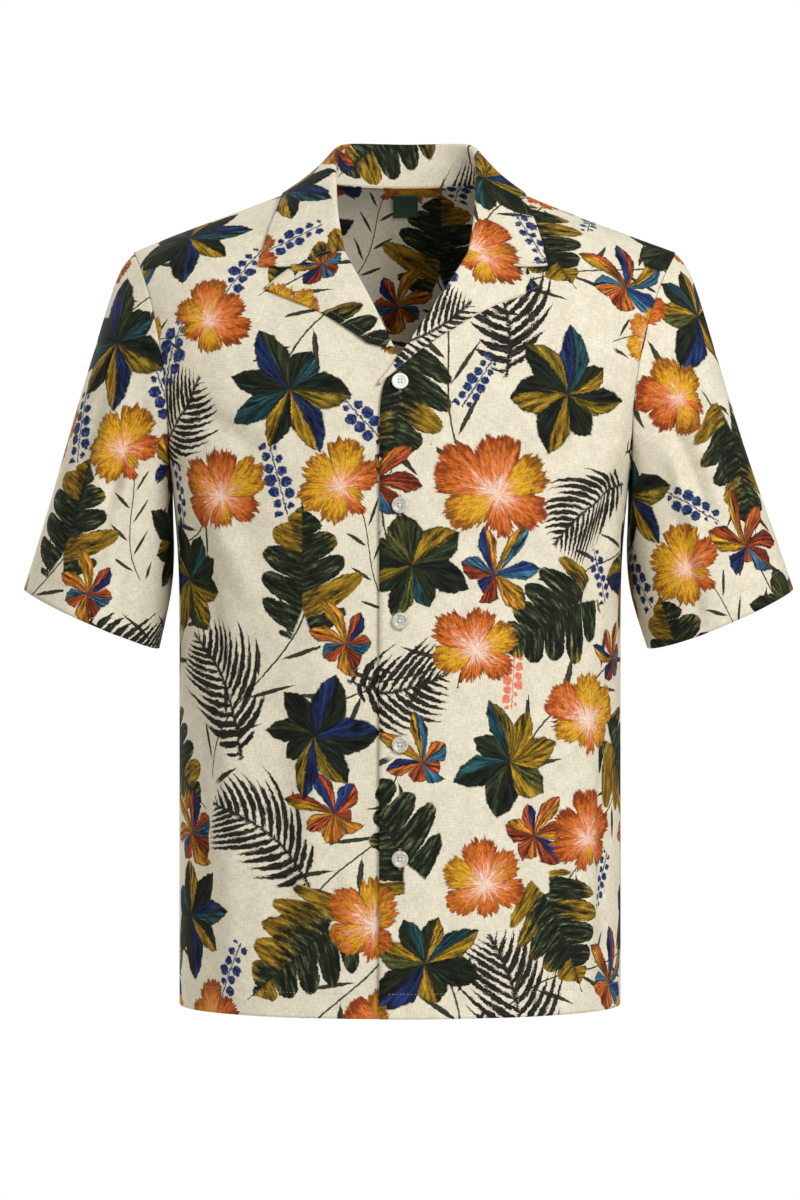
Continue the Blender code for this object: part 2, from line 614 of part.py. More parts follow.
def sew_sleeve(sleeve, front, left_side):
    """Share normals round the armhole and open the seam's gap on both sides."""
    column = -1 if left_side else 0
    outward = 1.0 if left_side else -1.0
    top_row = LEVEL + FAN_COUNT
    cells = [[(front, row, -1)] for row in range(top_row, LEVEL - 1, -1)]
    cells[-1].append((back, LEVEL, column))
    cells += [[(back, LEVEL + step, column)] for step in range(1, BACK_FAN + 1)]
    cells[-1].append((yoke, 0, column))
    cells += [[(yoke, row, column)] for row in range(1, YOKE_ROWS)]
    cells[0].append((yoke, YOKE_ROWS, column))
    for key, holders in enumerate(cells):
        body = unit(sum(panel.normals[row, col] for panel, row, col in holders))
        joint = unit(body + sleeve.normals[0, key])
        for panel, row, col in holders:
            panel.normals[row, col] = joint
            pull_sideways(panel, (row, col), -outward)
        sleeve.normals[0, key] = joint
        pull_sideways(sleeve, (0, key), outward)
    sleeve.normals[0, -1] = sleeve.normals[0, 0]
    sleeve.pull[0, -1] = sleeve.pull[0, 0]


sew_sleeve(sleeve_left, front_left, True)
sew_sleeve(sleeve_right, front_right, False)

# Shoulder seams: the yoke's front edge, which has a point for every second one of a front's.
NECK_FIRST = SHOULDER_COLUMNS                  # the yoke's first column at the neck
NECK_LAST = SHOULDER_COLUMNS + NECK_COLUMNS
for front, columns in ((front_left, range(NECK_LAST, NECK_LAST + SHOULDER_COLUMNS + 1)),
                       (front_right, range(NECK_FIRST, NECK_FIRST - SHOULDER_COLUMNS - 1, -1))):
    for step, column in enumerate(columns):
        front.points[-1, 2 * step] = yoke.points[-1, column]
        if step < SHOULDER_COLUMNS:
            share_normal((front, -1, 2 * step), (yoke, -1, column))
    for layer in (front.points, front.normals):
        layer[-1, 1::2] = (layer[-1, 0:-1:2] + layer[-1, 2::2]) / 2

# Side seams: the last column of each front and the ends of the back.
beside = slice(0, LEVEL + 1)
for front, column, inside in ((front_left, -1, -2), (front_right, 0, 1)):
    for row in range(LEVEL):
        share_normal((front, row, -1), (back, row, column))
    pull_edge(front, (beside, -1), (beside, -2))
    pull_edge(back, (beside, column), (beside, inside))
# The yoke seam across the back.
for column in range(1, len(yoke.points[0]) - 1):
    share_normal((back, -1, column), (yoke, 0, column))
pull_edge(back, (-1, slice(None)), (-2, slice(None)))
pull_edge(yoke, (0, slice(None)), (1, slice(None)))


# ---------------------------------------------------------------- collar and facings
def outer_tree(*panels):
    """The outer faces of some panels, to lay a leaf on."""
    verts, faces = [], []
    for panel in panels:
        first = len(verts)
        layer = panel.points + panel.normals * panel.outer[..., None]
        rows, columns = panel.points.shape[:2]
        verts += [Vector(p) for p in layer.reshape(-1, 3)]
        out = np.sum(grid_normals(panel.points) * panel.normals) > 0
        for row in range(rows - 1):
            for column in range(columns - 1):
                a = first + row * columns + column
                face = (a, a + 1, a + columns + 1, a + columns)
                faces.append(face if out else face[::-1])
    return BVHTree.FromPolygons(verts, faces)


def lay(point, tree, clear, always=False):
    """Lift a point to its clear height over the cloth; always also brings it down to it."""
    place = Vector(point)
    for _ in range(LAY_ROUNDS):
        on, normal, _, _ = tree.find_nearest(place)
        height = (place - on).dot(normal)
        if always or height < clear:
            place = place + normal * (clear - height)
    return np.array(place)


ROLL_ROW = LEVEL + 2      # the fronts' row where the roll line starts
LAY_ROUNDS = 4            # times that a point is lifted off what it lies on
GORGE_LIFT = 0.0006       # the gorge seam stands this much higher half way to the notch
TURN_POINTS = 6           # points from the seam over the roll or fold
NECK_CENTRE = np.array([0.0, 0.0, -0.030])
FALL_SHARES = (0.30, 0.60, 0.80, 1.00)
STAND_SHARES = np.array([0.0, 0.40, 0.80, 0.87, 0.93, 1.0])
LINE_STEP = 0.03          # share of the collar over which the run of its fold is taken
RIDGE_AT, RIDGE_WIDTH = 0.5, 0.16           # where the collar crosses the shoulder line
FOLD_EASE = 0.4           # the front's small roll grows to the collar's fold over this share


def turned_over(seam, fold, outward, radius):
    """Points from a seam up the stand and over the fold; at a plain roll there is no stand."""
    up = unit(fold - seam)
    stand = max(0.0, float(np.linalg.norm(fold - seam)) - radius)
    total = stand + math.pi * radius
    even = np.linspace(0.0, 1.0, TURN_POINTS)
    weight = min(1.0, stand / total / STAND_SHARES[2])
    points = []
    for share in even + weight * (STAND_SHARES - even):
        run = share * total
        angle = max(0.0, run - stand) / radius
        points.append(seam + up * min(run, stand) + up * radius * math.sin(angle)
                      + outward * radius * (1 - math.cos(angle)))
    return points


def falling(top, edge, tree, clear=LEAF_CLEAR):
    """Points from the fold down to the leaf's outer edge, over what it lies on."""
    edge = lay(edge, tree, clear, always=True)
    points = [lay(top + (edge - top) * share, tree, clear) for share in FALL_SHARES[:-1]]
    return points + [edge]


def roll_of(front, row, radius):
    """The roll at one row of a front's inner edge."""
    seam, normal = front.points[row, 0], front.normals[row, 0]
    below = max(row - 1, ROLL_ROW)
    inward = np.cross(normal, front.points[row + 1, 0] - front.points[below, 0])
    inward = unit(inward * np.sign(np.dot(inward, seam - front.points[row, 1])))
    return turned_over(seam, seam + inward * radius, normal, radius)


def on_front(x, z, side):
    return np.array([side * x, float(body_y(x, z, FRONT)), z])


def gorge(front, side, tip, tree):
    """The seam of collar and facing as far as the notch, then on to the tip of either."""
    turned = roll_of(front, ROLL_ROW + GORGE_ROW, ROLL_RADIUS)
    notch = lay(on_front(*NOTCH, side), tree, LEAF_CLEAR, always=True)
    tip = lay(tip, tree, LEAF_CLEAR, always=True)
    half_way = lay((turned[-1] + notch) / 2, tree, LEAF_CLEAR + GORGE_LIFT)
    return turned + [half_way, notch, lay((notch + tip) / 2, tree, LEAF_CLEAR), tip]


def facing_points(front, side, first_row):
    """A turned-back facing: a row across it for each row of the roll line."""
    tree = outer_tree(front)
    rows = []
    for step in range(first_row, GORGE_ROW):
        radius = ROLL_RADII[step - first_row]
        turned = roll_of(front, ROLL_ROW + step, radius)
        edge = on_front(FACING_EDGE["x"][step], FACING_EDGE["z"][step], side)
        rows.append(turned + falling(turned[-1], edge, tree))
    tip = on_front(FACING_EDGE["x"][-1], FACING_EDGE["z"][-1], side)
    rows.append(gorge(front, side, tip, tree))
    return np.array(rows)


def along_collar(table, size, side):
    """A point of one of the collar's lines, mirrored for the wearer's right."""
    return np.array([side * float(read(table, "x", size, "k")),
                     float(read(table, "y", size, "k")), float(read(table, "z", size, "k"))])


def collar_points():
    """The collar: its neck seam is the yoke's neck edge and both fronts' neck edges."""
    tree = outer_tree(front_left, front_right, back, yoke)
    first, last = ROLL_ROW + GORGE_ROW, LEVEL + FAN_COUNT
    seams = [(front_right, row, 0) for row in range(first, last)]
    seams += [(yoke, -1, column) for column in range(NECK_FIRST, NECK_LAST + 1)]
    seams += [(front_left, row, 0) for row in range(last - 1, first - 1, -1)]
    columns = []
    for step, (panel, row, column) in enumerate(seams):
        k = 2.0 * step / (len(seams) - 1) - 1.0
        side = -1.0 if k < 0 else 1.0
        size = abs(k)
        edge = along_collar(COLLAR_EDGE, size, side)
        if step in (0, len(seams) - 1):
            columns.append(gorge(panel, side, edge, tree))
            continue
        seam = panel.points[row, column]
        fold = along_collar(COLLAR_FOLD, size, side)
        grown = float(smooth((1 - size) / FOLD_EASE))
        radius = ROLL_RADIUS + (FOLD_RADIUS - ROLL_RADIUS) * grown
        line = along_collar(COLLAR_FOLD, size + LINE_STEP, side)
        if size > LINE_STEP:
            line = line - along_collar(COLLAR_FOLD, size - LINE_STEP, side)
        else:
            line = line - along_collar(COLLAR_FOLD, size + LINE_STEP, -side)
        outward = unit(np.cross(line, fold - seam))
        outward = outward * np.sign(np.dot(outward, seam - NECK_CENTRE))
        turned = turned_over(seam, fold, outward, radius)
        clear = COLLAR_CLEAR + RIDGE_CLEAR * math.exp(-((size - RIDGE_AT) / RIDGE_WIDTH)**2)
        columns.append(turned + falling(turned[-1], edge, tree, clear))
    return np.swapaxes(np.array(columns), 0, 1), seams


facing_left = Panel("facing_left", facing_points(front_left, 1.0, 0), half=DOUBLE_CLOTH / 2,
                    flip=True)
facing_right = Panel("facing_right", facing_points(front_right, -1.0, UNDER_FACING_FIRST_ROW),
                     half=DOUBLE_CLOTH / 2)
collar_grid, neck_seam = collar_points()
collar = Panel("collar", collar_grid, half=DOUBLE_CLOTH / 2, flip=True)

# Where they are sewn on they are as thick as the cloth they meet.
for panel, sewn in ((collar, (0, slice(None))), (facing_left, (slice(None), 0)),
                    (facing_right, (slice(None), 0))):
    panel.inner[sewn] = panel.outer[sewn] = CLOTH / 2
for facing, front, first_row in ((facing_left, front_left, 0),
                                 (facing_right, front_right, UNDER_FACING_FIRST_ROW)):
    for step in range(GORGE_ROW - first_row):
        share_normal((facing, step, 0), (front, ROLL_ROW + first_row + step, 0))
    end = -1 if front is front_left else 0
    for point in range(len(FALL_SHARES) + TURN_POINTS - 2):
        cells = [(facing, -1, point), (collar, point, end)]
        if point == 0:
            cells.append((front, ROLL_ROW + GORGE_ROW, 0))
        share_normal(*cells)
    pull_edge(facing, (slice(None), 0), (slice(None), 1))
    pull_edge(facing, (-1, slice(None)), (-2, slice(None)))
    pull_edge(collar, (slice(None), end), (slice(None), -2 if end else 1))
    pull_edge(front, (slice(ROLL_ROW, None), 0), (slice(ROLL_ROW, None), 1))
for step, (panel, row, column) in enumerate(neck_seam[1:-1], start=1):
    cells = [(collar, 0, step), (panel, row, column)]
    if panel is yoke and column in (NECK_FIRST, NECK_LAST):
        cells.append((front_right if column == NECK_FIRST else front_left, -1, 0))
    share_normal(*cells)
for front in (front_left, front_right):
    front.normals[-1, 1] = (front.normals[-1, 0] + front.normals[-1, 2]) / 2
pull_edge(collar, (0, slice(None)), (1, slice(None)))
pull_edge(yoke, (-1, slice(None)), (-2, slice(None)))
pull_edge(yoke, (-1, NECK_FIRST), (-1, NECK_FIRST - 1))
pull_edge(yoke, (-1, NECK_LAST), (-1, NECK_LAST + 1))
for front in (front_left, front_right):
    pull_edge(front, (-1, slice(None)), (-2, slice(None)))
    front.pull[-1, 1::2] = (front.pull[-1, 0:-1:2] + front.pull[-1, 2::2]) / 2

for panel in (front_left, front_right, back, yoke, sleeve_left, sleeve_right):
    build_wall(panel)
for panel in (facing_left, facing_right, collar):
    build_wall(panel, roughness=0.8)


# ---------------------------------------------------------------- label
LABEL_WIDTH, LABEL_HEIGHT, LABEL_THICK = 0.022, 0.018, 0.0010
LABEL_TOP = -0.0035       # the label hangs from just under the neck seam
LABEL_X = -0.0015
LABEL_COLUMNS, LABEL_ROWS = 5, 4


def build_label():
    """A woven tab on the inside of the yoke, following its inner face."""
    across = np.linspace(-LABEL_WIDTH / 2, LABEL_WIDTH / 2, LABEL_COLUMNS) + LABEL_X
    up = np.linspace(LABEL_TOP - LABEL_HEIGHT, LABEL_TOP, LABEL_ROWS)
    x, z = np.meshgrid(across, up)
    points = np.stack([x, body_y(x, z, BACK), z], axis=-1)
    tree = outer_tree(yoke)
    off = CLOTH + SEAM_GAP + LABEL_THICK / 2
    flat = [lay(p, tree, -off, always=True) for p in points.reshape(-1, 3)]
    tab = Panel("label", np.array(flat).reshape(points.shape), half=LABEL_THICK / 2, flip=True)
    build_wall(tab, "label", 0.7)


build_label()


# ---------------------------------------------------------------- buttons
# Half of a button's section, radius and height, from its flat back to its dished middle.
BUTTON_PROFILE = ((0.0000, 0.0000), (0.0058, 0.0000), (0.0070, 0.0008), (0.0070, 0.0019),
                  (0.0063, 0.0026), (0.0054, 0.0025), (0.0046, 0.0018), (0.0000, 0.0017))
BUTTON_SIDES = 24
HOLE_RADIUS, HOLE_OFFSET, HOLE_SIDES = 0.00085, 0.00150, 8
DRILL_LENGTH = 0.01


def button_mesh():
    """A turned disc with a raised rim, drilled with four holes."""
    bm = bmesh.new()
    verts = [bm.verts.new((r, 0.0, h)) for r, h in BUTTON_PROFILE]
    edges = [bm.edges.new(pair) for pair in zip(verts, verts[1:])]
    bmesh.ops.spin(bm, geom=verts + edges, cent=(0, 0, 0), axis=(0, 0, 1), angle=2 * math.pi,
                   steps=BUTTON_SIDES, use_merge=True)
    bmesh.ops.remove_doubles(bm, verts=bm.verts[:], dist=MERGE)
    disc = add_object("button_blank", bm, "pearl", 0.3)
    drill = bmesh.new()
    for x in (-HOLE_OFFSET, HOLE_OFFSET):
        for y in (-HOLE_OFFSET, HOLE_OFFSET):
            bmesh.ops.create_cone(drill, cap_ends=True, segments=HOLE_SIDES,
                                  radius1=HOLE_RADIUS, radius2=HOLE_RADIUS,
                                  depth=DRILL_LENGTH,
                                  matrix=Matrix.Translation((x, y, 0.0)))
    bits = add_object("button_drill", drill, "pearl", 0.3)
    cut = disc.modifiers.new("holes", "BOOLEAN")
    cut.operation = "DIFFERENCE"
    cut.object = bits
    drilled_disc = disc.evaluated_get(bpy.context.evaluated_depsgraph_get())
    drilled = bpy.data.meshes.new_from_object(drilled_disc)
    for blank in (disc, bits):
        bpy.data.objects.remove(blank, do_unlink=True)
    return drilled


def build_buttons():
    """Five buttons down the centre line, each flat on the upper front."""
    mesh = button_mesh()
    tree = outer_tree(front_left)
    for number, height in enumerate(BUTTON_HEIGHTS, start=1):
        start = Vector((0.0, float(body_y(0.0, height, FRONT)) - LAP_OUT, height))
        on, normal, _, _ = tree.find_nearest(start)
        obj = bpy.data.objects.new(f"button_{number}", mesh)
        bpy.context.scene.collection.objects.link(obj)
        turn = normal.to_track_quat("Z", "Y").to_matrix().to_4x4()
        obj.matrix_world = Matrix.Translation(on + normal * BUTTON_OFF_CLOTH) @ turn


build_buttons()
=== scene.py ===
import math
import random

import bmesh
import bpy
import numpy as np
from mathutils import Matrix, Vector
from mathutils.bvhtree import BVHTree
from mathutils.kdtree import KDTree


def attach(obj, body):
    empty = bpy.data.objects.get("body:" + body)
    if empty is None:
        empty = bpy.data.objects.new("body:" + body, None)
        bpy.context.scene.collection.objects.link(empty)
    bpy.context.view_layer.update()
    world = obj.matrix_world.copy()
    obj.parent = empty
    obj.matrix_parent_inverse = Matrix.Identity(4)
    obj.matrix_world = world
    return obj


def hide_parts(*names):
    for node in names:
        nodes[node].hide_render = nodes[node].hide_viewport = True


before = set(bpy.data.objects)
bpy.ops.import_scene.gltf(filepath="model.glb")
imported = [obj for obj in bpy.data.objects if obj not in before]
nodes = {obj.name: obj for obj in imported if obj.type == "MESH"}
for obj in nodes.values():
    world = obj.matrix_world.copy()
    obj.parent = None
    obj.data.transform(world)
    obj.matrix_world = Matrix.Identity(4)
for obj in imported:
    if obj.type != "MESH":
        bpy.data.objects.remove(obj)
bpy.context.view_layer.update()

# ------------------------------------------------------------ printed cloth
# Plain-weave viscose and cotton of about 0.3 mm, bought by the metre with a leaf and flower
# print in ink-like strokes on a cream ground. One repeat is half a metre wide, and all of
# the shirt's cloth but its label is cut from it.
REPEAT = np.array([0.50, 0.60])
# motif: number in a repeat, least and most half size in metres, how far it turns
MOTIFS = {
    "rosette": (8, 0.050, 0.068, math.pi),
    "split_leaf": (7, 0.050, 0.066, math.pi),
    "frond": (6, 0.048, 0.070, math.pi),
    "blossom": (11, 0.030, 0.056, 1.1),
    "lily": (9, 0.044, 0.060, 1.2),
    "sprig": (9, 0.026, 0.038, 0.9),
}
STEMMED = ("rosette", "split_leaf", "blossom", "lily")
APART, ALIKE_APART = 0.86, 1.04   # shares of two motifs' half sizes kept between them, the second if alike
TRIES, CODES = 300, 40            # places looked at for a motif; its number, for its own shape and colours
draw = random.Random(11)          # lays the print out the same way each time
laid = []                         # kind, place, half size, turn, number


def hex_colour(text):
    """An sRGB hex value as a linear colour."""
    parts = [int(text[i:i + 2], 16) / 255 for i in (1, 3, 5)]
    return [p / 12.92 if p <= 0.04045 else ((p + 0.055) / 1.055) ** 2.4 for p in parts] + [1.0]


def apart(a, b):
    """The distance between two places on the endlessly repeating cloth."""
    return float(np.hypot(*((np.subtract(a, b) + REPEAT / 2) % REPEAT - REPEAT / 2)))


for kind, (number, least, most, swing) in MOTIFS.items():
    for _ in range(number):
        half = draw.uniform(least, most)
        spots = [(draw.uniform(0, REPEAT[0]), draw.uniform(0, REPEAT[1])) for _ in range(TRIES)]
        spot = max(spots, key=lambda at: min([1.0] + [
            apart(at, other[1]) - APART * (half + other[2])
            - (1.0 if other[0] == kind and apart(at, other[1]) < ALIKE_APART * (half + other[2]) else 0.0)
            for other in laid]))
        laid.append((kind, spot, half, draw.uniform(-swing, swing), draw.randrange(1, CODES)))
# a stem hangs from a motif's middle, where it can keep clear of the other stems
STEM_LONG, STEM_APART, STEM_TRIES = 1.7, 0.045, 20
STEM_STEPS = (0.3, 1.0, 1.7, 2.4, 3.1, 3.5)       # where it is checked, in half sizes of its motif
stems = []
for kind, spot, half, turn, code in laid[:]:
    for _ in range(STEM_TRIES if kind in STEMMED else 0):
        way = turn + draw.uniform(-1.0, 1.0)
        line = [(spot[0] + math.sin(way) * step * half, spot[1] - math.cos(way) * step * half)
                for step in STEM_STEPS]
        if all(apart(a, b) > STEM_APART for other in stems for a in line for b in other):
            stems.append(line)
            laid.append(("stem", spot, half * STEM_LONG, way, code))
            break


MARGIN, FAR = 0.15, 9.0           # metres looked at round a piece; the place of a corner with no motif
COVERS, ROOM = 1.1, 1.2           # half sizes that a motif covers, and that are looked at round it
STEM_SLIM = 3                     # a stem's strip is this much narrower


def values(items, name, width=1, kind=float):
    """One property of all the items, in a row for each where it has several numbers."""
    found = np.empty(len(items) * width, dtype=kind)
    items.foreach_get(name, found)
    return found.reshape(-1, width) if width > 1 else found


def lay_print(mesh):
    """Gives each corner its place in the motif that covers it, one attribute for each kind of motif."""
    flat = values(mesh.uv_layers["pattern"].data, "uv", 2)
    sizes = values(mesh.polygons, "loop_total", kind=int)
    starts = np.concatenate([[0], np.cumsum(sizes)[:-1]])
    middle = np.add.reduceat(flat, starts, axis=0) / sizes[:, None]
    reach = np.maximum.reduceat(np.hypot(*(flat - np.repeat(middle, sizes, axis=0)).T), starts)
    lowest, highest = middle.min(axis=0), middle.max(axis=0)
    low = np.floor((lowest - MARGIN) / REPEAT).astype(int)
    high = np.ceil((highest + MARGIN) / REPEAT).astype(int)
    for kind in list(MOTIFS) + ["stem"]:
        slim = STEM_SLIM if kind == "stem" else 1
        spots = np.full((len(flat), 3), FAR)
        nearest = np.full(len(sizes), FAR)
        for _, spot, half, turn, code in (motif for motif in laid if motif[0] == kind):
            across = np.array([math.cos(turn), math.sin(turn)])
            along = np.array([-math.sin(turn), math.cos(turn)])
            for i in range(low[0], high[0] + 1):
                for j in range(low[1], high[1] + 1):
                    centre = np.array(spot) + REPEAT * (i, j)
                    if kind == "stem":
                        centre = centre - along * half
                    room = ROOM * half
                    if np.any(centre + room < lowest) or np.any(centre - room > highest):
                        continue
                    off = (middle - centre) / half
                    away = np.maximum(np.hypot(*off.T), np.abs(off @ across) * slim)
                    near = (away < nearest) & (away < COVERS + slim * reach / half)
                    nearest[near] = away[near]
                    chosen = np.repeat(near, sizes)
                    step = (flat[chosen] - centre) / half
                    spots[chosen] = np.column_stack([step @ across, step @ along, np.full(len(step), code)])
        layer = mesh.attributes.new(kind, "FLOAT_VECTOR", "CORNER")
        layer.data.foreach_set("vector", spots.ravel())


def new_material(name, sockets):
    """A material with these values on its shader's sockets; add() then works in its node tree."""
    global tree
    material = bpy.data.materials.new(name)
    material.use_nodes = True
    tree = material.node_tree
    shader = tree.nodes["Principled BSDF"].inputs
    for socket, value in sockets.items():
        shader[socket].default_value = value
    return material, shader


def add(kind, links=(), operation=None, out=0, stops=(), blend="LINEAR", **settings):
    """Adds a node with its settings and returns its output, or all of them where out is None.

    links holds the inputs' values or links, in order or by name or number; stops are a ramp's.
    """
    made = tree.nodes.new("ShaderNode" + kind)
    if operation:
        made.operation = operation
    for name, value in settings.items():
        setattr(made, name, value)
    for key, value in links.items() if isinstance(links, dict) else enumerate(links):
        if isinstance(value, bpy.types.NodeSocket):
            tree.links.new(value, made.inputs[key])
        else:
            made.inputs[key].default_value = value
    if stops:
        band = made.color_ramp
        band.interpolation = blend
        band.elements.remove(band.elements[1])
        for number, (at, colour) in enumerate(stops):
            stop = band.elements.new(at) if number else band.elements[0]
            stop.position = at
            stop.color = hex_colour(colour) if isinstance(colour, str) else [colour] * 3 + [1.0]
    return made.outputs if out is None else made.outputs[out]


# Printed viscose-cotton: quite matt, with the ink sunk into the yarn and hardly any shine.
cloth_print, cloth_shader = new_material("printed_viscose_cotton",
                                         {"Roughness": 0.85, "Specular IOR Level": 0.2})
yardage = add("UVMap", uv_map="pattern")
# the printer's hand: every 5 mm or so, edges wander by about a millimetre
hand = add("TexNoise", {"Vector": yardage, "Scale": 210.0, "Detail": 4.0, "Roughness": 0.75}, out=1,
           noise_dimensions="2D")
HAND = 0.070
wander = add("VectorMath", [hand, (HAND, HAND, 0.0), (-HAND / 2, -HAND / 2, 0.0)], "MULTIPLY_ADD")
# the ground is an unbleached cream with faint clouds of 17 mm; each motif is laid over those before it
patchy = add("TexNoise", {"Vector": yardage, "Scale": 60.0, "Detail": 2.0}, noise_dimensions="2D")
ink = add("ValToRGB", [patchy], stops=[(0.3, "#DDD6C1"), (0.7, "#E7E0CC")])
overprints = []                   # where each motif shows, and its shade


def motif(kind, shake=1.0):
    """A motif's own place in half sizes, with the hand's wander: whole, across, along, and its number."""
    own = add("Attribute", out=1, attribute_type="GEOMETRY", attribute_name=kind)
    own = add("VectorMath", [wander, (shake, shake, shake), own], "MULTIPLY_ADD")
    x, y, code = add("SeparateXYZ", [own], out=None)
    return own, x, y, add("Math", [code], "ROUND")


def rows(root, side, number, shift):
    """Leaflets up a stalk, one side's shifted: a count that grows along it, and how far the nearest one is."""
    turns = add("Math", [root, number, add("Math", [side, shift], "MULTIPLY")], "MULTIPLY_ADD")
    return turns, add("Math", [turns, 0.5], "PINGPONG")


def bristles(across, along, seed, fine, long, detail=2.0):
    """Dry-brush streaks: noise that is fine across a stroke and long down it."""
    stroke = add("VectorMath", [add("CombineXYZ", [across, along, seed]), (fine, long, 1.0)], "MULTIPLY")
    return add("TexNoise", {"Vector": stroke, "Scale": 1.0, "Detail": detail, "Roughness": 0.6})


# Stems: thin charcoal lines with a few narrow leaves, under everything else. As in
# all motifs, lengths are in half sizes and widths fall off along a ramp to the tip.
_, x, y, code = motif("stem", 0.35)
sway = add("Math", [y, 2.4], "MULTIPLY")
sway = add("Math", [add("Math", [sway], "SINE"), -0.16, x], "MULTIPLY_ADD")
away = add("Math", [sway], "ABSOLUTE")
side = add("Math", [sway, 0.0], "GREATER_THAN")
root = add("Math", [away, -1.1, y], "MULTIPLY_ADD")
turns, gap = rows(root, side, 2.3, 0.5)
leaf = add("ValToRGB", [add("Math", [away, 3.4], "MULTIPLY")],
           stops=[(0.0, 0.0), (0.12, 0.1), (0.3, 0.8), (0.55, 1.0), (0.85, 0.45), (1.0, 0.0)])
edge = add("Math", [leaf, 0.085, add("Math", [gap, -1.0], "MULTIPLY")], "MULTIPLY_ADD")
line = add("Math", [0.011, away], "SUBTRACT")
edge = add("Math", [edge, line], "MAXIMUM")
left = add("Math", [1.0, add("Math", [y], "ABSOLUTE")], "SUBTRACT")
edge = add("Math", [edge, add("Math", [left, 0.1], "MULTIPLY")], "MINIMUM")
streak = bristles(turns, away, code, 40.0, 1.0)
shown = add("MapRange", [edge, 0.0, 0.006])
shade = add("ValToRGB", [streak], stops=[(0.35, "#221F1B"), (0.65, "#4A4A38")])
overprints.append((shown, shade))

# Palm fronds: two rows of long tapering charcoal strokes on a dark rib.
own, x, y, code = motif("frond")
square = add("Math", [y, y], "MULTIPLY")
bent = add("Math", [square, 0.22, x], "MULTIPLY_ADD")
bent = add("Math", [bent, 0.08], "SUBTRACT")
away = add("Math", [bent], "ABSOLUTE")
side = add("Math", [bent, 0.0], "GREATER_THAN")
slope = add("Math", [away, -0.35, -0.60], "MULTIPLY_ADD")
slope = add("Math", [y, -0.48, slope], "MULTIPLY_ADD")
root = add("Math", [away, slope, y], "MULTIPLY_ADD")
turns, gap = rows(root, side, 7.6, 0.45)
blade = add("Math", [add("Math", [turns], "ROUND"), code, side], "MULTIPLY_ADD")
luck = add("TexWhiteNoise", {"W": blade}, noise_dimensions="1D")
length = add("Math", [add("Math", [root, root], "MULTIPLY"), -0.66, 0.60], "MULTIPLY_ADD")
length = add("Math", [add("Math", [length], "SQRT"), 0.02], "MAXIMUM")
length = add("Math", [length, add("Math", [luck, 0.5, 0.68], "MULTIPLY_ADD")], "MULTIPLY")
spread = add("VectorMath", [add("VectorMath", [own, (1.0, 1.0, 0.0)], "MULTIPLY")], "LENGTH", out=1)
part = add("Math", [away, length], "DIVIDE")
part = add("Math", [part, add("MapRange", [spread, 0.30, 1.03])], "MAXIMUM")
leaf = add("ValToRGB", [part], stops=[(0.0, 0.3), (0.15, 0.65), (0.4, 1.0), (0.75, 0.62), (1.0, 0.0)])
streak = bristles(turns, away, code, 9.0, 5.0)
edge = add("Math", [leaf, 0.43, add("Math", [gap, -1.0], "MULTIPLY")], "MULTIPLY_ADD")
ended = add("Math", [part, 1.0], "GREATER_THAN")
edge = add("Math", [edge, ended], "SUBTRACT")
rib = add("Math", [0.026, away], "SUBTRACT")
edge = add("Math", [edge, add("Math", [rib, 4.0], "MULTIPLY")], "MAXIMUM")
dry = add("Math", [streak, 0.55], "SUBTRACT")
edge = add("Math", [dry, -0.62, edge], "MULTIPLY_ADD")
left = add("Math", [1.02, spread], "SUBTRACT")
edge = add("Math", [edge, add("Math", [left, 3.0], "MULTIPLY")], "MINIMUM")
shown = add("MapRange", [edge, 0.0, 0.06])
shade = add("ValToRGB", [streak], stops=[(0.35, "#110F0D"), (0.6, "#2B2A24"), (0.75, "#66624F")])
overprints.append((shown, shade))

# Berry sprigs: navy berries up both sides of a thin stalk; a few sprigs are coral.
_, x, y, code = motif("sprig", 2.6)
away = add("Math", [x], "ABSOLUTE")
side = add("Math", [x, 0.0], "GREATER_THAN")
BERRIES, CORAL_FROM = 3.4, 32.0   # berries in a half size of stalk; the numbers of the coral sprigs
OTHER_SIDE = 31.0                 # keeps the chances of the two sides apart
turns, gap = rows(y, side, BERRIES, 0.45)
gap = add("Math", [gap, BERRIES], "DIVIDE")
cell = add("Math", [side, OTHER_SIDE, add("Math", [turns], "ROUND")], "MULTIPLY_ADD")
luck = add("TexWhiteNoise", {"Vector": add("CombineXYZ", [cell, code])}, noise_dimensions="2D")
out_by = add("Math", [luck, -0.13, away], "MULTIPLY_ADD")
out_by = add("Math", [out_by, 0.09], "SUBTRACT")
from_berry = add("VectorMath", [add("CombineXYZ", [gap, out_by])], "LENGTH", out=1)
tall = add("Math", [y], "ABSOLUTE")
size = add("Math", [tall, -0.06, 0.105], "MULTIPLY_ADD")
size = add("Math", [luck, 0.08, size], "MULTIPLY_ADD")
edge = add("Math", [size, from_berry], "SUBTRACT")
line = add("Math", [0.03, away], "SUBTRACT")
edge = add("Math", [edge, line], "MAXIMUM")
within = add("Math", [tall, 0.9], "LESS_THAN")
shown = add("MapRange", [edge, 0.0, 0.02, 0.0, within])
streak = bristles(x, y, code, 16.0, 8.0)
berry = add("ValToRGB", [streak], stops=[(0.3, "#0F1736"), (0.52, "#1E2F66"), (0.72, "#5C6F9C")])
dots = add("ValToRGB", [streak], stops=[(0.3, "#D9563A"), (0.7, "#EE9A80")])
coral = add("Math", [code, CORAL_FROM], "GREATER_THAN")
shade = add("Mix", {0: coral, 6: berry, 7: dots}, out=2, data_type="RGBA")
overprints.append((shown, shade))

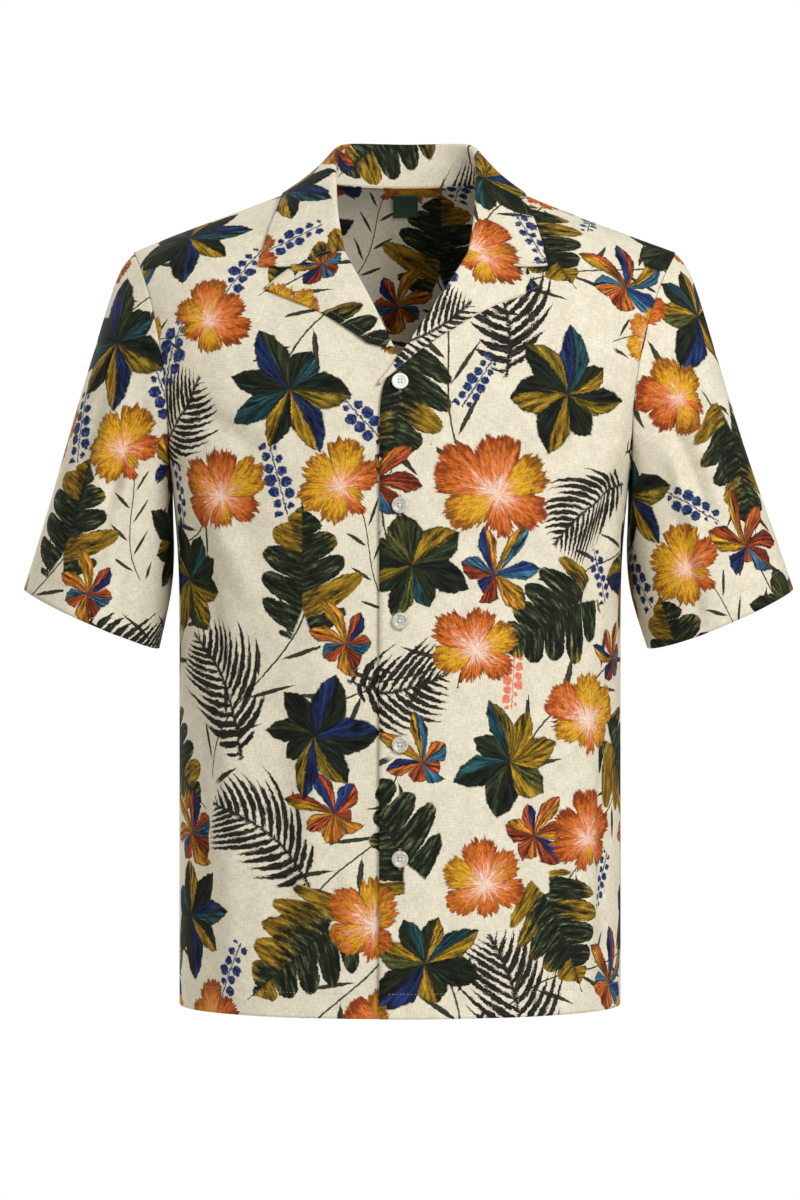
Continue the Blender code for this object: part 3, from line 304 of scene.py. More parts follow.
# Split leaves: heart-shaped, cut between the veins, green-black with mustard.
_, x, y, code = motif("split_leaf")
away = add("Math", [x], "ABSOLUTE")
side = add("Math", [x, 0.0], "GREATER_THAN")
slope = add("Math", [away, -0.25, -0.30], "MULTIPLY_ADD")
root = add("Math", [away, slope, y], "MULTIPLY_ADD")
turns = add("Math", [root, 2.5, add("Math", [side, 0.4], "MULTIPLY")], "MULTIPLY_ADD")
turns = add("Math", [code, 0.13, turns], "MULTIPLY_ADD")
gap = add("Math", [turns, 0.5], "PINGPONG")
lobe = add("Math", [side, OTHER_SIDE, add("Math", [turns], "ROUND")], "MULTIPLY_ADD")
luck = add("TexWhiteNoise", {"Vector": add("CombineXYZ", [lobe, code])}, noise_dimensions="2D")
broad = add("ValToRGB", [add("Math", [y, 0.5, 0.5], "MULTIPLY_ADD")],
            stops=[(0.0, 0.02), (0.05, 0.4), (0.2, 0.76), (0.42, 0.86), (0.62, 0.72), (0.85, 0.40),
                   (1.0, 0.01)])
broad = add("Math", [broad, add("Math", [luck, 0.30, 0.80], "MULTIPLY_ADD")], "MULTIPLY")
part = add("Math", [away, broad], "DIVIDE")
tip = add("Math", [add("Math", [gap, 2.0], "MULTIPLY"), 2.4], "POWER")
edge = add("Math", [add("Math", [tip, -0.36, 1.0], "MULTIPLY_ADD"), part], "SUBTRACT")
parting = add("MapRange", [part, add("Math", [luck, 0.5, 0.25], "MULTIPLY_ADD"), 1.0, 0.51, 0.38])
cleft = add("Math", [add("Math", [parting, gap], "SUBTRACT"), 3.0], "MULTIPLY")
heart = add("Math", [add("Math", [y, 0.42, 0.24], "MULTIPLY_ADD"), away], "ADD")
edge = add("Math", [edge, cleft], "MINIMUM")
edge = add("Math", [edge, heart], "MINIMUM")
streak = bristles(turns, away, code, 7.0, 3.2, 4.0)
shown = add("MapRange", [edge, 0.0, 0.035])
leafy = add("ValToRGB", [streak],
            stops=[(0.32, "#080A07"), (0.46, "#151B13"), (0.56, "#2B3421"), (0.64, "#566040"),
                   (0.74, "#9AA07A")])
gold = add("ValToRGB", [streak],
           stops=[(0.32, "#1E1A0C"), (0.44, "#6B5416"), (0.56, "#A37C1C"), (0.72, "#D3A93A")])
patch = add("Math", [part, 0.35, luck], "MULTIPLY_ADD")
patch = add("Math", [streak, 0.5, patch], "MULTIPLY_ADD")
patch = add("MapRange", [patch, 1.1, 1.3, 0.0, 0.85])
shade = add("Mix", {0: patch, 6: leafy, 7: gold}, out=2, data_type="RGBA")
vein = add("Math", [gap, add("Math", [away, 3.0], "MULTIPLY")], "MINIMUM")
vein = add("MapRange", [vein, 0.0, 0.05, 0.55, 0.0])
shade = add("Mix", {0: vein, 6: shade, 7: hex_colour("#0E110D")}, out=2, data_type="RGBA")
overprints.append((shown, shade))


def whorl(kind, count, width, bend, fan, profile, stops_near, stops_far):
    """Pointed leaves or petals round a middle, each with its own length and its two halves' colours."""
    own, _, _, code = motif(kind)
    far = add("VectorMath", [own, (1.0, 1.0, 0.0)], "MULTIPLY")
    spread = add("VectorMath", [far], "LENGTH", out=1)
    twist = add("Math", [add("Math", [code, 1.7], "MULTIPLY")], "SINE")
    twist = add("Math", [add("Math", [twist, bend], "MULTIPLY"), spread], "MULTIPLY")
    turned = add("VectorRotate", {"Vector": far, "Angle": twist}, rotation_type="Z_AXIS")
    x, y, _ = add("SeparateXYZ", [turned], out=None)
    angle = add("Math", [x, y], "ARCTAN2")
    uneven = add("Math", [add("Math", [angle], "SINE"), 0.28], "MULTIPLY")
    turns = add("Math", [angle, count / (2 * math.pi), uneven], "MULTIPLY_ADD")
    cell = add("Math", [turns], "ROUND")
    off = add("Math", [turns, cell], "SUBTRACT")
    pick = add("CombineXYZ", [cell, code])
    luck, colour = add("TexWhiteNoise", {"Vector": pick}, out=None, noise_dimensions="2D")
    first, second, _ = add("SeparateColor", [colour], out=None)
    swing = add("Math", [off, 2 * math.pi / count], "MULTIPLY")
    along = add("Math", [add("Math", [swing], "COSINE"), spread], "MULTIPLY")
    across = add("Math", [add("Math", [swing], "SINE"), spread], "MULTIPLY")
    away = add("Math", [across], "ABSOLUTE")
    reach = add("Math", [luck, 0.42, 0.60 - fan], "MULTIPLY_ADD")
    faces_up = add("Math", [add("Math", [cell, 2 * math.pi / count], "MULTIPLY")], "COSINE")
    reach = add("Math", [faces_up, fan, reach], "MULTIPLY_ADD")
    part = add("Math", [along, reach], "DIVIDE")
    leaf = add("ValToRGB", [part], stops=profile)
    edge = add("Math", [leaf, width, add("Math", [away, -1.0], "MULTIPLY")], "MULTIPLY_ADD")
    shown = add("MapRange", [edge, 0.0, 0.022])
    streak = bristles(turns, along, code, 11.0, 2.6, 4.0)
    near = add("ValToRGB", [first], blend="CONSTANT", stops=stops_near)
    other = add("ValToRGB", [second], blend="CONSTANT", stops=stops_far)
    half = add("Math", [across, add("Math", [streak, 0.2, -0.1], "MULTIPLY_ADD")], "GREATER_THAN")
    shade = add("Mix", {0: half, 6: near, 7: other}, out=2, data_type="RGBA")
    tone = add("ValToRGB", [streak], stops=[(0.34, 0.03), (0.43, 0.25), (0.53, 0.82), (0.62, 1.4), (0.74, 3.2)])
    shade = add("Mix", {0: 1.0, 6: shade, 7: tone}, out=2, data_type="RGBA", blend_type="MULTIPLY")
    rim = add("MapRange", [edge, 0.02, 0.05, 0.75, 0.0])
    rib = add("MapRange", [away, 0.0, 0.03, 0.6, 0.0])
    dark = add("Math", [rim, rib], "MAXIMUM")
    shade = add("Mix", {0: dark, 6: shade, 7: hex_colour("#15140F")}, out=2, data_type="RGBA")
    return shown, shade


# Lilies: six narrow petals in rust, ochre and blue.
PETAL = [(0.0, 0.25), (0.3, 0.6), (0.62, 1.0), (0.85, 0.62), (1.0, 0.0)]
shown, shade = whorl("lily", 6, 0.20, 0.5, 0.16, PETAL,
                     [(0.0, "#B4502A"), (0.3, "#C9702C"), (0.45, "#8E3A20"), (0.6, "#26407E"),
                      (0.75, "#B98A22")],
                     [(0.0, "#A84A26"), (0.3, "#D08A2C"), (0.55, "#1F2F66"), (0.75, "#3A6E8C")])
overprints.append((shown, shade))

# Leaf rosettes: seven broad pointed leaves in greens, mustard, teal and navy.
LEAF = [(0.0, 0.3), (0.25, 0.75), (0.5, 1.0), (0.8, 0.66), (1.0, 0.0)]
shown, shade = whorl("rosette", 7, 0.25, 0.35, 0.0, LEAF,
                     [(0.0, "#262D1C"), (0.28, "#525628"), (0.42, "#96761E"), (0.55, "#1B241B"),
                      (0.74, "#1C3F4A"), (0.87, "#1C2E5C")],
                     [(0.0, "#333C24"), (0.24, "#1F261B"), (0.48, "#85701F"), (0.66, "#264F55"),
                      (0.8, "#AA8420")])
overprints.append((shown, shade))

# Blossoms: ruffled petals from a pale pink throat through coral to orange and yellow.
own, _, _, code = motif("blossom")
low = add("VectorMath", [add("VectorMath", [own, (1.0, 1.0, 0.0)], "MULTIPLY"), (0.0, 0.22, 0.0)], "ADD")
spread = add("VectorMath", [low], "LENGTH", out=1)
aim = add("VectorMath", [low], "NORMALIZE")
across, up, _ = add("SeparateXYZ", [aim], out=None)
angle = add("Math", [across, up], "ARCTAN2")
PETALS = 6
turns = add("Math", [angle, PETALS / (2 * math.pi)], "MULTIPLY")
cell = add("Math", [turns], "ROUND")
off = add("Math", [turns, cell], "SUBTRACT")
luck, colour = add("TexWhiteNoise", {"Vector": add("CombineXYZ", [cell, code])}, out=None,
                   noise_dimensions="2D")
petal = add("Math", [add("Math", [off, math.pi], "MULTIPLY")], "COSINE")
reach = add("Math", [add("Math", [petal, 0.4], "POWER"), 0.32, 0.40], "MULTIPLY_ADD")
reach = add("Math", [up, 0.16, reach], "MULTIPLY_ADD")
reach = add("Math", [luck, 0.26, reach], "MULTIPLY_ADD")
wide = add("Math", [across], "ABSOLUTE")
reach = add("Math", [wide, 0.14, reach], "MULTIPLY_ADD")
place = add("VectorMath", [aim, add("CombineXYZ", {2: code})], "ADD")
fringe = add("TexNoise", {"Vector": place, "Scale": 9.0, "Detail": 3.0, "Roughness": 0.7})
reach = add("Math", [fringe, 0.55, add("Math", [reach, 0.275], "SUBTRACT")], "MULTIPLY_ADD")
reach = add("Math", [reach, add("Math", [up, 0.22, 1.03], "MULTIPLY_ADD")], "MINIMUM")
part = add("Math", [spread, reach], "DIVIDE")
shown = add("MapRange", [part, 1.0, 0.96])
ray = add("VectorMath", [place, (9.0, 9.0, 9.0)], "MULTIPLY")
ray = add("VectorMath", [ray, add("CombineXYZ", {2: add("Math", [spread, 3.2], "MULTIPLY")})], "ADD")
streak = add("TexNoise", {"Vector": ray, "Scale": 1.0, "Detail": 4.0, "Roughness": 0.7})
own_shade = add("TexWhiteNoise", {"W": code}, noise_dimensions="1D")
deep = add("Math", [add("Math", [streak, 0.5], "SUBTRACT"), 1.7, part], "MULTIPLY_ADD")
deep = add("Math", [own_shade, -0.26, add("Math", [deep, 0.1], "ADD")], "MULTIPLY_ADD")
orange = add("ValToRGB", [deep],
             stops=[(0.0, "#F6E0D3"), (0.22, "#F2BDA4"), (0.38, "#E88C60"), (0.58, "#DA7632"),
                    (0.82, "#C46420"), (1.0, "#873818")])
yellow = add("ValToRGB", [deep],
             stops=[(0.0, "#F6E0D3"), (0.2, "#F0B48E"), (0.36, "#E6A23A"), (0.55, "#E2AE26"), (0.8, "#CE921C"),
                    (1.0, "#905A18")])
petal_shade = add("SeparateColor", [colour], out=1)
which = add("Math", [own_shade, 0.4, petal_shade], "MULTIPLY_ADD")
which = add("MapRange", [add("Math", [streak, 0.9, which], "MULTIPLY_ADD"), 1.12, 1.22])
shade = add("Mix", {0: which, 6: orange, 7: yellow}, out=2, data_type="RGBA")
fine = add("TexNoise", {"Vector": ray, "Scale": 2.7, "Detail": 2.0})
fine = add("MapRange", [add("Math", [part, 0.12, fine], "MULTIPLY_ADD"), 0.55, 0.70, 0.0, 0.62])
shade = add("Mix", {0: fine, 6: shade, 7: hex_colour("#6E2F12")}, out=2, data_type="RGBA")
groove = add("MapRange", [add("Math", [off], "ABSOLUTE"), 0.5, 0.44, 0.45, 0.0])
groove = add("Math", [groove, part], "MULTIPLY")
shade = add("Mix", {0: groove, 6: shade, 7: hex_colour("#5E2A12")}, out=2, data_type="RGBA")
overprints.append((shown, shade))

for shown, shade in overprints:
    ink = add("Mix", {0: shown, 6: ink, 7: shade}, out=2, data_type="RGBA")

# Plain weave: uneven threads of 0.3 mm both ways, drawn at about 0.8 mm so that they show.
# Painted shade and light: the cloth's colour is darkened between the threads and lightened on their tops.
ACROSS_THREAD, DOWN_THREAD = 1250.0, 150.0        # changes to a metre
ways = [add("VectorMath", [yardage, scale], "MULTIPLY") for scale in ((ACROSS_THREAD, DOWN_THREAD, 0.0),
                                                                      (DOWN_THREAD, ACROSS_THREAD, 0.0))]
warp, weft = (add("TexNoise", {"Vector": way, "Scale": 1.0, "Detail": 1.0},
                  noise_dimensions="2D") for way in ways)
weave = add("Math", [warp, weft], "ADD")
# painted shade between the threads and painted light on their tops, from the weave's height
painted_weave_shade = add("MapRange", [weave, 0.7, 1.3, 0.84, 1.08])
ink = add("Mix", {0: 1.0, 6: ink, 7: painted_weave_shade}, out=2, data_type="RGBA", blend_type="MULTIPLY")
tree.links.new(ink, cloth_shader["Base Color"])
bumps = add("Bump", {"Strength": 0.3, "Distance": 0.0003, "Height": weave})
tree.links.new(bumps, cloth_shader["Normal"])

# ---------------------------------------------------------------- cut cloth
# Fronts, back, yoke, sleeves, collar and facings: nine pieces cut from the one printed cloth
# and sewn with narrow seams. Each is the show side of its pattern piece, creased by hanging,
# with the cloth's own thickness behind it.
RIM_ANGLE = math.radians(60)      # a wall's cut edge turns more sharply
SAME_PLACE = 0.00001              # corners this near are one
JOIN_ANGLE = math.radians(80)     # triangles that bend less are joined to quads
HEM_STEP = 0.0012                 # welds the step of 0.8 mm at a hem's fold
SEAM_CLOSE = 0.0003               # each edge reaches over the seam's gap of 0.3 mm
FACING_OUT = 0.0012               # facings reach out to the rolled edge of the revers


def islands(items, neighbours):
    """The groups of items that hang together; neighbours gives those that one is joined to."""
    groups, waiting = [], set(items)
    while waiting:
        group, reached = [], [waiting.pop()]
        while reached:
            item = reached.pop()
            group.append(item)
            for other in neighbours(item):
                if other in waiting:
                    waiting.remove(other)
                    reached.append(other)
        groups.append(group)
    return groups


def show_side(node, heart, weld, grow):
    """The side of a wall that shows: of its two skins, the one that faces away from heart."""
    sheet = bmesh.new()
    sheet.from_mesh(node.data)
    bmesh.ops.remove_doubles(sheet, verts=sheet.verts, dist=SAME_PLACE)
    skins = islands(sheet.faces, lambda face: (
        other for edge in face.edges if edge.calc_face_angle(math.pi) < RIM_ANGLE for other in edge.link_faces))
    skins.sort(key=lambda skin: -sum(face.calc_area() for face in skin))
    shown = set(max(skins[:2], key=lambda skin: sum(
        face.calc_area() * face.normal.dot(face.calc_center_median() - heart) for face in skin)))
    bmesh.ops.delete(sheet, geom=[face for face in sheet.faces if face not in shown], context="FACES")
    if weld:
        bmesh.ops.remove_doubles(sheet, verts=sheet.verts, dist=HEM_STEP)
    bmesh.ops.join_triangles(sheet, faces=sheet.faces, angle_face_threshold=JOIN_ANGLE,
                             angle_shape_threshold=JOIN_ANGLE, topology_influence=1.0)
    outward = {}
    for edge in sheet.edges:
        if edge.is_boundary:
            way = (edge.verts[0].co + edge.verts[1].co) / 2 - edge.link_faces[0].calc_center_median()
            along = (edge.verts[0].co - edge.verts[1].co).normalized()
            for vert in edge.verts:
                outward[vert] = outward.get(vert, Vector()) + (way - along * way.dot(along)).normalized()
    for vert, way in outward.items():
        vert.co += way.normalized() * grow
    return sheet


def mark_underarm(sheet):
    """Marks a sleeve's seam: from the lowest point of its top edge straight down to its hem."""
    loops = islands((vert for vert in sheet.verts if vert.is_boundary), lambda vert: (
        edge.other_vert(vert) for edge in vert.link_edges if edge.is_boundary))
    top, hem = sorted(loops, key=lambda loop: -sum(vert.co.z for vert in loop) / len(loop))[:2]
    vert, seen = min(top, key=lambda vert: vert.co.z), set()
    hem = set(hem)
    while vert not in hem:
        seen.add(vert)
        edge = min((edge for edge in vert.link_edges if not edge.is_boundary
                    and edge.other_vert(vert) not in seen),
                   key=lambda edge: (edge.other_vert(vert).co - vert.co).normalized().z)
        edge.seam = True
        vert = edge.other_vert(vert)


TINY = 1e-12                      # a flat face of no area has no slope


def flatten(cloth, lay_on):
    """Unwraps a piece flat as its paper pattern, in metres, with the grain upright.

    lay_on holds a point of the piece and its place on the yardage. Returns the area and the flat size.
    """
    bpy.ops.object.select_all(action="DESELECT")
    bpy.context.view_layer.objects.active = cloth
    bpy.ops.object.mode_set(mode="EDIT")
    bpy.ops.mesh.select_all(action="SELECT")
    bpy.ops.uv.unwrap(method="ANGLE_BASED", margin=0.0)
    bpy.ops.object.mode_set(mode="OBJECT")
    mesh = cloth.data
    flat = values(mesh.uv_layers.active.data, "uv", 2)
    place = values(mesh.vertices, "co", 3)[values(mesh.loops, "vertex_index", kind=int)]
    area, flat_area, rise = 0.0, 0.0, np.zeros(2)
    for face in mesh.polygons:
        ring = list(face.loop_indices)
        area += face.area
        for a, b, c in zip([ring[0]] * (len(ring) - 2), ring[1:], ring[2:]):
            p, q = flat[b] - flat[a], flat[c] - flat[a]
            twice = p[0] * q[1] - p[1] * q[0]
            flat_area += twice / 2
            if abs(twice) > TINY:
                dz = np.array([place[b][2] - place[a][2], place[c][2] - place[a][2]])
                rise += np.linalg.solve(np.array([p, q]), dz) * twice / 2
    assert flat_area > 0
    angle = math.pi / 2 - math.atan2(rise[1], rise[0])
    scale = math.sqrt(area / flat_area)
    turn = np.array([[math.cos(angle), -math.sin(angle)], [math.sin(angle), math.cos(angle)]])
    flat = flat @ turn.T * scale
    point, u, v = lay_on
    nearest = np.argmin(((place - np.array(point)) ** 2).sum(axis=1))
    flat += np.array([u, v]) - flat[nearest]
    mesh.uv_layers.active.data.foreach_set("uv", flat.ravel())
    return area, flat.max(axis=0) - flat.min(axis=0)


SEAM_FADE, FADE_POWER = 0.022, 1.5                # folds die away this near to a seam
DEEP, FRONTAL = 0.15, (1.0, 0.2, 1.0)             # a fold's ends are found from in front or behind
ROUND_END = 3                     # a fold keeps its height for most of its length


def crease(cloth, folds, free_below):
    """Moves the cloth out or in by soft folds, dying away at seams but not at edges under free_below."""
    mesh = cloth.data
    place, normal = values(mesh.vertices, "co", 3), values(mesh.vertices, "normal", 3)
    where = np.zeros((len(place), 2))
    where[values(mesh.loops, "vertex_index", kind=int)] = values(mesh.uv_layers["pattern"].data, "uv", 2)
    faces_at = np.bincount(values(mesh.loops, "edge_index", kind=int), minlength=len(mesh.edges))
    rim = np.unique(values(mesh.edges, "vertices", 2, int)[faces_at == 1])
    rim = rim[place[rim][:, 2] > free_below]
    seams = KDTree(len(rim))
    for index in rim:
        seams.insert(place[index], index)
    seams.balance()
    away = np.array([seams.find(point)[2] for point in place]) / SEAM_FADE
    lift = np.zeros(len(place))
    for side, *millimetres in folds:
        x0, z0, x1, z1, width, height = np.array(millimetres) / 1000
        start, end = (where[np.argmin((place - (x, side * DEEP, z)) ** 2 @ FRONTAL)]
                      for x, z in ((x0, z0), (x1, z1)))
        run = end - start
        length = np.hypot(*run)
        along = (where - start) @ run / length ** 2
        across = (where - start) @ np.array([-run[1], run[0]]) / length
        taper = np.clip(1 - np.abs(2 * along - 1) ** ROUND_END, 0, None)
        lift += height * taper * np.exp(-(across / width) ** 2)
    place = place + normal * (lift * np.clip(away, 0, 1) ** FADE_POWER)[:, None]
    mesh.vertices.foreach_set("co", place.ravel())
    mesh.update()


BODY = Vector((0.0, 0.0, -0.35))
THIN, DOUBLED = 0.0009, 0.0018    # a single cloth, and one faced with a second
# folds of each piece in mm: front (-1) or back (1), from x and z, to x and z, width, height
FOLDS = {
    "front_left": [
        (-1, 205, -190, 105, -270, 11, -5.3), (-1, 212, -225, 135, -345, 13, 4.9),
        (-1, 206, -262, 160, -420, 12, -4.3), (-1, 72, -330, 60, -700, 20, 4.3),
        (-1, 118, -400, 124, -720, 17, -4.9), (-1, 163, -360, 170, -720, 21, 5.6),
        (-1, 195, -470, 199, -720, 13, -4.6), (-1, 30, -292, 85, -345, 9, -1.9),
        (-1, 26, -480, 80, -510, 10, 1.9), (-1, 60, -100, 150, -155, 14, 2.2),
        (-1, 40, -560, 36, -720, 10, -2.2)],
    "front_right": [
        (-1, -200, -195, -110, -250, 12, -4.9), (-1, -208, -235, -125, -370, 14, 5.6),
        (-1, -203, -280, -150, -470, 12, -4.9), (-1, -66, -270, -74, -640, 19, 4),
        (-1, -104, -430, -98, -720, 18, -5.3), (-1, -150, -400, -147, -720, 20, 5.9),
        (-1, -187, -440, -183, -720, 15, -4.9), (-1, -30, -385, -90, -425, 10, -1.9),
        (-1, -34, -585, -95, -600, 10, 1.9), (-1, -55, -110, -140, -150, 13, 2),
        (-1, -40, -520, -46, -720, 11, 2.4)],
    "back": [
        (1, 15, -150, 28, -700, 22, 4.9), (1, -50, -160, -70, -720, 19, -5.6),
        (1, 78, -170, 92, -720, 18, -4.9), (1, 130, -260, 140, -720, 22, 5.9),
        (1, -118, -230, -126, -720, 21, 5.6), (1, 175, -180, 90, -290, 13, 5.3),
        (1, -172, -190, -80, -275, 13, 4.9), (1, 182, -215, 120, -370, 12, -4.9),
        (1, -180, -230, -110, -400, 12, -5.3), (1, -168, -420, -172, -720, 16, -4.9),
        (1, 172, -460, 180, -720, 15, -4.6)],
    "yoke": [(1, 60, -60, 160, -85, 12, 1.9), (1, -70, -60, -150, -90, 11, -1.9)],
    "sleeve_left": [
        (-1, 222, -190, 268, -300, 10, -6.9), (-1, 228, -235, 262, -350, 9, 5.6),
        (-1, 245, -170, 300, -330, 13, 4.9), (-1, 268, -150, 318, -350, 13, -4.3),
        (-1, 238, -290, 250, -400, 9, -4.9), (1, 225, -200, 275, -330, 11, -6.3),
        (1, 250, -160, 305, -340, 14, 5.6), (1, 232, -270, 250, -390, 10, 4.9)],
    "sleeve_right": [
        (-1, -215, -185, -255, -290, 10, -7.3), (-1, -222, -230, -248, -345, 9, 5.9),
        (-1, -238, -165, -285, -330, 13, 5.3), (-1, -262, -150, -303, -340, 12, -4.6),
        (-1, -230, -280, -238, -395, 9, -5.3), (1, -220, -205, -262, -335, 11, -5.9),
        (1, -246, -165, -292, -345, 14, 5.3), (1, -226, -275, -240, -385, 10, 4.6)],
    "collar": [(-1, -60, -30, -85, -60, 10, 1.1), (-1, 62, -28, 90, -60, 10, -1.1)],
    "facing_left": [(-1, 50, -110, 85, -85, 8, 1.2)],
    "facing_right": [(-1, -45, -105, -80, -85, 8, 1.2)],
}
BODY_HEM, SLEEVE_HEM, NO_HEM = -0.705, -0.30, -9.0         # edges under this height hang free
# piece: heart, welded hem step, wall, a point and its place on the yardage,
# how it is held and what it rests on, and the height of its hem
PIECES = {
    "front_left": (BODY, True, THIN, ((0.0, -0.12, -0.30), 0.0, -0.30), ("draped", "button_2"), BODY_HEM),
    "front_right": (BODY, True, THIN, ((0.0, -0.12, -0.30), 0.0, -0.30), ("draped", "front_left"), BODY_HEM),
    "back": (BODY, True, THIN, ((0.0, 0.13, -0.40), 0.9, -0.40), ("hung", "yoke"), BODY_HEM),
    "yoke": (BODY, True, THIN, ((0.0, 0.10, -0.06), 0.93, 0.25), ("draped", "collar"), NO_HEM),
    "sleeve_left": (Vector((0.268, 0.0, -0.25)), True, THIN, ((0.30, 0.0, -0.25), 0.55, -0.2),
                    ("hung", "front_left"), SLEEVE_HEM),
    "sleeve_right": (Vector((-0.261, 0.0, -0.25)), True, THIN, ((-0.29, 0.0, -0.25), 1.35, -0.3),
                     ("hung", "front_right"), SLEEVE_HEM),
    "collar": (Vector((0.0, 0.02, -0.03)), False, DOUBLED, ((0.0, 0.10, 0.0), 1.7, 0.1),
               ("folded", "yoke"), NO_HEM),
    "facing_left": (Vector((0.0, 0.1, -0.1)), False, DOUBLED, ((0.08, -0.09, -0.12), 0.33, 0.41),
                    ("folded", "front_left"), NO_HEM),
    "facing_right": (Vector((0.0, 0.1, -0.1)), False, DOUBLED, ((-0.08, -0.09, -0.12), 0.72, 0.13),
                     ("folded", "front_right"), NO_HEM),
}
ROUNDING = 3                      # times each coarse face is halved, down to about 3 mm


def round_off(piece):
    """Divides the coarse cloth into a smooth sheet that keeps its corners."""
    smooth = piece.modifiers.new("rounded", "SUBSURF")
    smooth.levels = smooth.render_levels = ROUNDING
    smooth.boundary_smooth = "PRESERVE_CORNERS"
    piece.data = bpy.data.meshes.new_from_object(piece.evaluated_get(bpy.context.evaluated_depsgraph_get()))
    piece.modifiers.clear()


def add_piece(name, form, material=None):
    """A new object on the part's one body, with the form's mesh at its own place."""
    mesh = bpy.data.meshes.new(name)
    form.to_mesh(mesh)
    form.free()
    if material:
        mesh.materials.append(material)
        mesh.shade_smooth()
    piece = bpy.data.objects.new(name, mesh)
    bpy.context.scene.collection.objects.link(piece)
    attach(piece, "root")
    return piece


def make_up(piece, material, wall):
    """Gives a sheet its cloth, and its wall inwards from the show side."""
    piece.data.materials.append(material)
    piece.data.shade_smooth()
    thickness = piece.modifiers.new("thickness", "SOLIDIFY")
    thickness.thickness, thickness.offset = wall, -1


cloth = {}
for name, (heart, weld, wall, lay_on, (held, rests_on), free_below) in PIECES.items():
    sheet = show_side(nodes[name], heart, weld, FACING_OUT if name.startswith("facing") else SEAM_CLOSE)
    if name.startswith("sleeve"):
        mark_underarm(sheet)
    piece = cloth[name] = add_piece("cloth_" + name, sheet)
    piece.data.uv_layers.new(name="pattern")
    area, size = flatten(piece, lay_on)
    round_off(piece)
    crease(piece, FOLDS[name], free_below)
    lay_print(piece.data)
    make_up(piece, cloth_print, wall)
    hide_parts(name)

# ------------------------------------------------------------------ sewing
# Lockstitch in cream polyester thread, about eight stitches to 25 mm: hems
# 21 mm up, collar and revers 5 mm in, the yoke seam close to its edge.
STITCH_PITCH, STITCH = 0.0031, Vector((0.0012, 0.00018, 0.00013))


def line_of_sewing(name, start, via, end, inset):
    """Places and normals on the cloth along a piece's edge, inset, from start by way of via to end."""
    form = bmesh.new()
    form.from_mesh(cloth[name].data)
    rim = [vert for vert in form.verts if vert.is_boundary]
    first, last = (min(rim, key=lambda vert: (vert.co - Vector(point)).length) for point in (start, end))
    ways = []
    for edge in first.link_edges:
        if edge.is_boundary:
            way, vert = [first], edge.other_vert(first)
            while vert not in (first, last):
                way.append(vert)
                edge = next(e for e in vert.link_edges if e.is_boundary and e.other_vert(vert) is not way[-2])
                vert = edge.other_vert(vert)
            ways.append(way + [vert])
    way = min(ways, key=lambda way: min((vert.co - Vector(via)).length for vert in way))
    surface = BVHTree.FromBMesh(form)
    line = []
    for before, vert, after in zip(way, way[1:], way[2:]):
        along = (after.co - before.co).normalized()
        inward = sum(((face.calc_center_median() - vert.co) for face in vert.link_faces), Vector())
        inward = (inward - along * inward.dot(along)).normalized()
        line.append(surface.find_nearest(vert.co + inward * inset)[:2])
    form.free()
    return line


def stitch(form, place, ways, size):
    """A lozenge of thread at a place, with its ways along, across and up, and half its size in each."""
    turn = Matrix(ways).transposed().to_4x4()
    bmesh.ops.create_icosphere(form, subdivisions=1, radius=1.0,
                               matrix=Matrix.Translation(place) @ turn @ Matrix.Diagonal(size).to_4x4())


def sew(title, *lines):
    """One piece of stitches, one every few millimetres along each line."""
    thread = bmesh.new()
    for line in lines:
        travelled = 0.0
        for (a, up), (b, _) in zip(line, line[1:]):
            step = (b - a).length
            along = (b - a).normalized()
            across = up.cross(along).normalized()
            while travelled < step:
                stitch(thread, a.lerp(b, travelled / step), (along, across, along.cross(across)), STITCH)
                travelled += STITCH_PITCH
            travelled -= step
    add_piece(title, thread, thread_cream)


# Spun polyester: a soft, matt thread, a little darker than the cloth's ground.
thread_cream, _ = new_material("spun_polyester_thread", {"Base Color": hex_colour("#B5AC96"), "Roughness": 0.6})

HEM_UP, EDGE_IN, SEAM_IN = 0.021, 0.005, 0.0015
sew("sewing_hem_fronts",
    line_of_sewing("front_left", (-0.015, -0.14, -0.713), (0.12, -0.12, -0.713), (0.21, 0.0, -0.713), HEM_UP),
    line_of_sewing("front_right", (0.012, -0.14, -0.713), (-0.12, -0.12, -0.713), (-0.21, 0.0, -0.713), HEM_UP))
sew("sewing_hem_back",
    line_of_sewing("back", (0.213, 0.0, -0.713), (0.0, 0.14, -0.713), (-0.21, 0.0, -0.713), HEM_UP))
sew("sewing_hem_sleeves", *(
    line_of_sewing(name, (side * 0.24, 0.0, -0.42), (side * 0.30, way * 0.05, -0.37),
                   (side * 0.34, 0.0, -0.35), HEM_UP)
    for name, side in (("sleeve_left", 1), ("sleeve_right", -1)) for way in (-1, 1)))
sew("sewing_collar_edge",
    line_of_sewing("collar", (-0.055, -0.07, -0.075), (0.0, 0.11, -0.03), (0.055, -0.07, -0.075), EDGE_IN))
sew("sewing_revers_edges",
    line_of_sewing("facing_left", (0.06, -0.10, -0.075), (0.10, -0.09, -0.11), (0.0, -0.12, -0.18), EDGE_IN),
    line_of_sewing("facing_right", (-0.06, -0.10, -0.075), (-0.10, -0.09, -0.11), (-0.01, -0.12, -0.15),
                   EDGE_IN))
sew("sewing_yoke_seam",
    line_of_sewing("yoke", (0.21, 0.03, -0.12), (0.0, 0.14, -0.1245), (-0.21, 0.03, -0.12), SEAM_IN))

# ----------------------------------------------------------------- buttons
# Five four-hole shirt buttons, 14 mm across, turned from shell: a rounded rim
# round a shallow well, sewn on with white thread through a short shank.
WELL_RADIUS, HOLE_RADIUS, HOLE_OUT = 0.0043, 0.00075, 0.00125
WELL_SIDES, HOLE_SIDES = 48, 12
RIM_PROFILE = [(4.6, 0.35), (5.1, 0.60), (5.8, 0.70), (6.4, 0.60), (6.8, 0.28), (7.0, -0.25), (6.9, -0.8),
               (6.5, -1.2), (5.6, -1.5), (4.3, -1.6)]       # radius and height over the well, in mm


